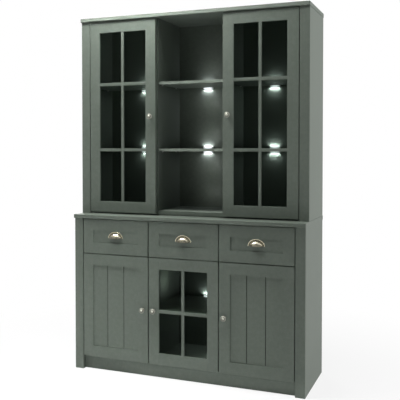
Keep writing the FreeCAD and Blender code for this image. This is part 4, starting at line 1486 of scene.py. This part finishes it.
@dataclass
class ShelfLights:
    """Clip lights on the rear edges of the shelves."""

    cap: float = 1.2 * MM
    cap_depth: float = 10 * MM
    margin: float = 4 * MM
    ahead: float = 70 * MM
    glow: float = 0.17
    glow_behind_glass: float = 0.004
    glow_in_base: float = 0.004
    strip: float = 0.11
    strip_behind_glass: float = 0.2
    strip_in_base: float = 0.24
    below_in_base: float = 0.6
    above_top: float = 0.55
    aside: float = 20 * MM
    cone: float = 165.0
    diode_size: float = 12 * MM
    diode_colour: Point = (0.95, 0.96, 0.94)
    wash: float = 0.08
    wash_ahead: float = 90 * MM
    wash_drop: float = 240 * MM
    wall_wash: float = 0.26
    wall_wash_at: Point = (-120 * MM, -10 * MM, 500 * MM)
    floor_wash: float = 0.9
    floor_wash_at: Point = (120 * MM, -15 * MM, 190 * MM)
    strip_deep: float = 7 * MM
    strip_off: float = 6.5 * MM
    strip_aside: float = 9 * MM
    strip_colour: Point = (0.92, 0.9, 1.0)
    clip_edge: float = 0.8 * MM
    lens_edge: float = 0.5 * MM
    window_edge: float = 0.4 * MM

    def power_at(self, x: Span, z: Span) -> Tuple[float, float]:
        """How strong a clip's light is.

        Args:
            x: The clip's low and high X.
            z: The clip's low and high Z.

        Returns:
            The power of its broad lamp and of its strip lamp.
        """
        if z[0] < span_of("worktop")[2][0]:
            return self.glow_in_base, self.strip_in_base
        if x[0] < 0.0 < x[1]:
            return self.glow, self.strip
        return self.glow_behind_glass, self.strip_behind_glass

    def diode(self, name: str, at: Point, power: float, way: Point = REARWARD) -> None:
        """Put one small wide-angled lamp in front of a back sheet, a wall or a floor.

        Args:
            name: Its name.
            at: Where it is.
            power: Power in watts.
            way: Which way it shines.
        """
        light = bpy.data.lights.new(name, "SPOT")
        light.energy = power
        light.color = self.diode_colour
        light.shadow_soft_size = self.diode_size
        light.spot_size = math.radians(self.cone)
        light.spot_blend = 1.0
        hang(light, at, way).visible_camera = False

    def clip_lamps(self, number: int, clip: Box) -> None:
        """Light one clip: a strip at each window, and a broad lamp above and below it.

        Args:
            number: The clip's number, for the lamps' names.
            clip: Its low and high X, Y and Z.
        """
        x, y, z = clip
        middle = (x[0] + x[1]) / 2
        in_base = z[1] < span_of("worktop")[2][0]
        top = span_of("light_clips")[2][1]
        back = span_of("base_back" if in_base else "upper_back")[1][0]
        glow, strip = self.power_at(x, z)
        faces = (("above", z[1], 1.0), ("below", z[0], -1.0))
        for side, face, way in faces:
            level = face + way * self.ahead
            share = self.above_top if level > top else 1.0
            self.diode(f"diode_{number}_{side}", (middle + self.aside, y[0] - self.ahead, level),
                       glow * share)
        for side, face, way in faces:
            share = self.below_in_base if in_base and way < 0.0 else 1.0
            light = area_light(f"strip_{number}_{side}",
                               (x[1] - x[0] - 2 * self.margin, self.strip_deep), strip * share)
            light.color = self.strip_colour
            at = (middle - self.strip_aside, back - self.strip_off, face + way * self.cap)
            hang(light, at, (0, 0, way)).visible_camera = False

    def washes(self) -> None:
        """Put in the lamps that stand for light spread inside the bay and the base."""
        back = span_of("upper_back")[1][0]
        low = min(z[0] for _, _, z in solids_of("upper_shelves"))
        self.diode("wash", (self.aside, back - self.wash_ahead, low - self.wash_drop), self.wash)
        self.diode("wall_wash", self.wall_wash_at, self.wall_wash, (-1, 0, 0))
        self.diode("floor_wash", self.floor_wash_at, self.floor_wash, (0, 0, -1))

    def build(self) -> None:
        """Build the windows and put small lamps at each."""
        smooth_node("light_clips", "cabinet", CLIP_PLASTIC, self.clip_edge)
        windows = Maker("light_windows")
        for x, y, z in solids_of("light_lenses"):
            windows.block(x, y, z, self.lens_edge)
        for number, (x, y, z) in enumerate(solids_of("light_clips")):
            across = (x[0] + self.margin, x[1] - self.margin)
            deep = (y[0] + self.cap, y[0] + self.cap + self.cap_depth)
            windows.block(across, deep, (z[1], z[1] + self.cap), self.window_edge)
            windows.block(across, deep, (z[0] - self.cap, z[0]), self.window_edge)
            self.clip_lamps(number, (x, y, z))
        windows.done("cabinet", LIGHT, "light_lenses")
        self.washes()


@dataclass
class Fittings:
    """Screws, nails and buffers that hold or cushion the larger pieces."""

    screw: float = 3.6 * MM
    screw_height: float = 1.4 * MM
    wing_screw: float = 24 * MM
    plate_screw: float = 16 * MM
    plate_in: float = 9 * MM
    plate: float = 2.2 * MM
    sheet: float = 1.2 * MM
    channel_screws: Tuple[float, ...] = (0.1, 0.5, 0.9)
    pull_screw: float = 32 * MM
    pull_screw_up: float = 0.35
    nail: float = 2.2 * MM
    nail_height: float = 0.7 * MM
    nail_pitch: float = 140 * MM
    nail_in: float = 8 * MM
    buffer: float = 4.5 * MM
    buffer_height: float = 1.3 * MM
    buffer_in: float = 8.8 * MM
    corner_in: float = 11 * MM
    margin: float = 22 * MM

    def screws(self, body: str, spots: List[Spot]) -> None:
        """Set screws on a body.

        Args:
            body: CAD body that they are on.
            spots: Place and facing of each.
        """
        StudSet(body + "_screws", body, StudKind.SCREW, self.screw, self.screw_height, HINGE_STEEL,
                spots).build()

    def buffers(self, body: str, places: List[Point]) -> None:
        """Set buffers on the rear of a door or a drawer front.

        Args:
            body: CAD body that they are on.
            places: Place of each.
        """
        StudSet(body + "_buffers", body, StudKind.DOT, self.buffer, self.buffer_height,
                BUFFER_PLASTIC, [(place, REARWARD) for place in places]).build()

    def cup_screws(self, body: str) -> List[Spot]:
        """Two screws in the wings of each hinge cup of a door.

        Args:
            body: The door's body.

        Returns:
            Place and facing of each screw.
        """
        spots = []
        for x, y, z in solids_of(body + "_hinge_cups"):
            middle = (z[0] + z[1]) / 2
            for way in (-1, 1):
                spots.append((((x[0] + x[1]) / 2, y[1], middle + way * self.wing_screw), REARWARD))
        return spots

    def door(self, body: str, leaf: str, hinge_right: bool) -> None:
        """Screws in the hinge cups and behind the knob, and buffers at the free edge.

        Args:
            body: The door's body.
            leaf: Node of its frame or leaf.
            hinge_right: Whether the hinges are on the right.
        """
        x, y, z = span_of(leaf)
        knob_x, _, knob_z = span_of(body + "_knob")
        knob = ((knob_x[0] + knob_x[1]) / 2, y[1], (knob_z[0] + knob_z[1]) / 2)
        self.screws(body, self.cup_screws(body) + [(knob, REARWARD)])
        free = x[0] + self.buffer_in if hinge_right else x[1] - self.buffer_in
        self.buffers(body, [(free, y[1], level) for level in (z[0] + self.margin, z[1] - self.margin)])

    def drawer(self, body: str) -> None:
        """Screws behind the pull and buffers at the upper corners of the front.

        Args:
            body: The drawer's body.
        """
        x, y, z = span_of(body + "_front")
        pull_x, _, pull_z = span_of(body + "_pull")
        middle = (pull_x[0] + pull_x[1]) / 2
        level = pull_z[0] + (pull_z[1] - pull_z[0]) * self.pull_screw_up
        self.screws(body, [((middle + way * self.pull_screw, y[1], level), REARWARD)
                           for way in (-1, 1)])
        self.buffers(body, [(edge, y[1], z[1] - self.buffer_in)
                            for edge in (x[0] + self.corner_in, x[1] - self.corner_in)])

    def cabinet_screws(self) -> None:
        """Set the screws in the hinge plates and the runner channels."""
        spots = []
        for x, y, z in solids_of("hinge_arms"):
            left = x[0] + x[1] < 0
            place = x[0] + self.plate if left else x[1] - self.plate
            for way in (-1, 1):
                level = (z[0] + z[1]) / 2 + way * self.plate_screw
                spots.append(((place, y[1] - self.plate_in, level), (1 if left else -1, 0, 0)))
        middles = [sum(span_of(drawer + "_front")[0]) / 2 for drawer in DRAWERS]
        for x, y, z in solids_of("runner_channels"):
            middle = min(middles, key=lambda place: abs(place - sum(x) / 2))
            left = sum(x) / 2 < middle
            place = x[0] + self.sheet if left else x[1] - self.sheet
            for share in self.channel_screws:
                spots.append(((place, y[0] + (y[1] - y[0]) * share, (z[0] + z[1]) / 2),
                              (1 if left else -1, 0, 0)))
        self.screws("cabinet", spots)

    def along(self, reach: Span, inset: float) -> List[float]:
        """Places of nails along a line.

        Args:
            reach: Low and high end of the line.
            inset: How far the first and last nail stay from the ends.

        Returns:
            The places, about one pitch apart.
        """
        length = reach[1] - reach[0] - 2 * inset
        count = round(length / self.nail_pitch)
        return [reach[0] + inset + length * step / count for step in range(count + 1)]

    def back_nails(self) -> None:
        """Set the nails along the top and bottom of the back panels and over the dividers."""
        nails = []
        for unit in ("base", "upper"):
            x, y, z = span_of(unit + "_back")
            for divider in ("left", "right"):
                row = sum(span_of(f"{unit}_{divider}_divider")[0]) / 2
                nails += [((row, y[1], up), REARWARD) for up in self.along(z, self.margin)]
            for level in (z[0] + self.nail_in, z[1] - self.nail_in):
                nails += [((across, y[1], level), REARWARD)
                          for across in self.along(x, 2 * self.margin)]
        StudSet("back_nails", "cabinet", StudKind.DOT, self.nail, self.nail_height, HINGE_STEEL,
                nails).build()

    def build(self) -> None:
        """Set every fitting."""
        for body in DOORS:
            leaf = body + ("_leaf" if body in PANEL_DOORS else "_frame")
            self.door(body, leaf, hinge_right="left" not in body)
        for body in DRAWERS:
            self.drawer(body)
        self.cabinet_screws()
        self.back_nails()


@dataclass(frozen=True)
class SoftLamp:
    """A soft rectangular lamp of the studio."""

    name: str
    at: Point
    aim: Point
    size: Tuple[float, float]
    power: float
    spread: float = 180.0

    def build(self) -> None:
        """Hang the lamp and turn it to what it lights."""
        light = area_light(self.name, self.size, self.power)
        light.spread = math.radians(self.spread)
        hang(light, self.at, Vector(self.aim) - Vector(self.at))


STUDIO_LAMPS = (
    SoftLamp("key", (-0.8, -0.47, 2.72), (-0.6, -0.25, 1.6), (0.4, 0.3), power=8.5),
    SoftLamp("key_right", (-0.32, -0.42, 2.55), (-0.2, -0.2, 1.6), (0.3, 0.2), power=17.0),
    SoftLamp("side", (5.0, 0.6, 2.6), (0.67, 0.0, 1.2), (3.0, 3.0), power=190.0),
    SoftLamp("overhead", (-2.4, -1.2, 5.2), (-0.2, -0.2, 0.9), (2.0, 0.6), power=145.0),
    SoftLamp("front", (-2.5, -4.5, 3.0), (0.0, -0.2, 1.0), (2.0, 2.0), power=16.0),
    SoftLamp("ground", (-0.65, -1.5, 3.4), (-0.65, -1.2, 0.0), (0.8, 0.8), power=13.5, spread=50.0),
    SoftLamp("behind", (-2.5, 4.5, 3.2), (0.0, 0.2, 1.0), (2.5, 2.5), power=110.0),
    SoftLamp("cornice", (0.3, -0.42, 2.5), (0.3, -0.14, 1.98), (0.3, 0.1), power=1.4),
    SoftLamp("plinth", (0.2, -0.75, 0.035), (0.2, -0.18, 0.035), (1.1, 0.05), power=0.05, spread=14.0),
)


@dataclass
class Studio:
    """Floor, sky, lamps and camera."""

    eye: Point = (1.3859, -3.4969, 1.2609)
    yaw: float = 21.48
    pitch: float = -1.42
    focal: float = 667.35
    centre: Tuple[float, float] = (198.13, 165.0)
    image: int = 400
    sensor: float = 36.0
    farthest: float = 200.0
    floor_half: float = 30.0
    floor_paint: float = 0.88
    floor_near: float = 0.75
    floor_far: float = 1.9
    floor_white: float = 0.84
    sky_level: float = 0.025

    def seen(self, book: NodeBook) -> Wire:
        """A mask of the rays that see the stage itself: from the camera, metal and glass.

        Args:
            book: Nodes of the floor or the world.

        Returns:
            One for those rays and nought for the rest.
        """
        path = book.add("ShaderNodeLightPath")
        return (book.out(path, "Is Camera Ray") + book.out(path, "Is Glossy Ray")
                + book.out(path, "Is Transmission Ray")).ramp(0.0, 1.0)

    def floor(self) -> None:
        """Lay a pale floor that runs to white away from the object."""
        mesh = bpy.data.meshes.new("floor")
        far = self.floor_half
        mesh.from_pydata([(-far, -far, 0), (far, -far, 0), (far, far, 0), (-far, far, 0)], [],
                         [(0, 1, 2, 3)])
        floor = bpy.data.objects.new("floor", mesh)
        bpy.context.scene.collection.objects.link(floor)
        material = bpy.data.materials.new("pale_floor")
        material.use_nodes = True
        material.node_tree.nodes.clear()
        book = NodeBook(material.node_tree)
        away = book.add("ShaderNodeVectorMath", {"operation": "LENGTH"}, {0: book.place()})
        whiter = book.out(away, "Value").ramp(self.floor_near, self.floor_far, self.floor_white, 1.0)
        share = whiter * self.seen(book)
        tone = self.floor_paint
        paint = book.add("ShaderNodeBsdfDiffuse", None, {"Color": (tone, tone, tone, 1.0)})
        white = book.add("ShaderNodeEmission", None, {"Color": (1, 1, 1, 1), "Strength": 1.0})
        mix = book.add("ShaderNodeMixShader", None,
                       {0: share, 1: book.out(paint, 0), 2: book.out(white, 0)})
        book.add("ShaderNodeOutputMaterial", None, {"Surface": book.out(mix, 0)})
        mesh.materials.append(material)
        floor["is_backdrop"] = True

    def sky(self) -> None:
        """Set the even light all round; rays that are seen get white."""
        world = bpy.data.worlds.new("studio")
        bpy.context.scene.world = world
        world.use_nodes = True
        world.node_tree.nodes.clear()
        book = NodeBook(world.node_tree)
        dim = book.add("ShaderNodeBackground", None,
                       {"Color": (1, 1, 1, 1), "Strength": self.sky_level})
        white = book.add("ShaderNodeBackground", None, {"Color": (1, 1, 1, 1), "Strength": 1.0})
        mix = book.add("ShaderNodeMixShader", None,
                       {0: self.seen(book), 1: book.out(dim, 0), 2: book.out(white, 0)})
        book.add("ShaderNodeOutputWorld", None, {"Surface": book.out(mix, 0)})

    def camera(self) -> None:
        """Stand the camera where the photograph was taken."""
        data = bpy.data.cameras.new("camera")
        data.sensor_width = self.sensor
        data.lens = self.focal / self.image * self.sensor
        data.shift_x = (self.image / 2 - self.centre[0]) / self.image
        data.shift_y = (self.centre[1] - self.image / 2) / self.image
        data.dof.use_dof = False
        data.clip_end = self.farthest
        camera = bpy.data.objects.new("camera", data)
        yaw = math.radians(self.yaw)
        pitch = math.radians(self.pitch)
        look = Vector((-math.sin(yaw) * math.cos(pitch), math.cos(yaw) * math.cos(pitch),
                       math.sin(pitch)))
        camera.location = self.eye
        camera.rotation_mode = "QUATERNION"
        camera.rotation_quaternion = look.to_track_quat("-Z", "Y")
        bpy.context.scene.collection.objects.link(camera)
        bpy.context.scene.camera = camera

    def build(self) -> None:
        """Set up the whole stage."""
        self.camera()
        self.floor()
        self.sky()
        for lamp in STUDIO_LAMPS:
            lamp.build()
        bpy.context.scene.view_settings.view_transform = "Standard"


def main() -> None:
    """Build the hutch piece by piece."""
    logging.basicConfig(level=logging.INFO, format="%(name)s: %(message)s")
    Carcass().build()
    Edging().build()
    ShelfLights().build()
    shelves = sorted({round((z[0] + z[1]) / 2, 5) for _, _, z in solids_of("upper_shelves")})
    low, high = span_of("base_center_door_frame")[2]
    for body, bars in (("upper_left_door", shelves), ("upper_right_door", shelves),
                       ("base_center_door", [(low + high) / 2])):
        GlazedDoor(body, bars).build()
    for body in PANEL_DOORS:
        PanelDoor(body).build()
    for body in DRAWERS:
        Drawer(body).build()
        CupPull(body + "_pull", body).build()
    for body in DOORS:
        Knob(body + "_knob", body).build()
    Fittings().build()
    Studio().build()
    low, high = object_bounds()


if __name__ == "__main__":
    main()
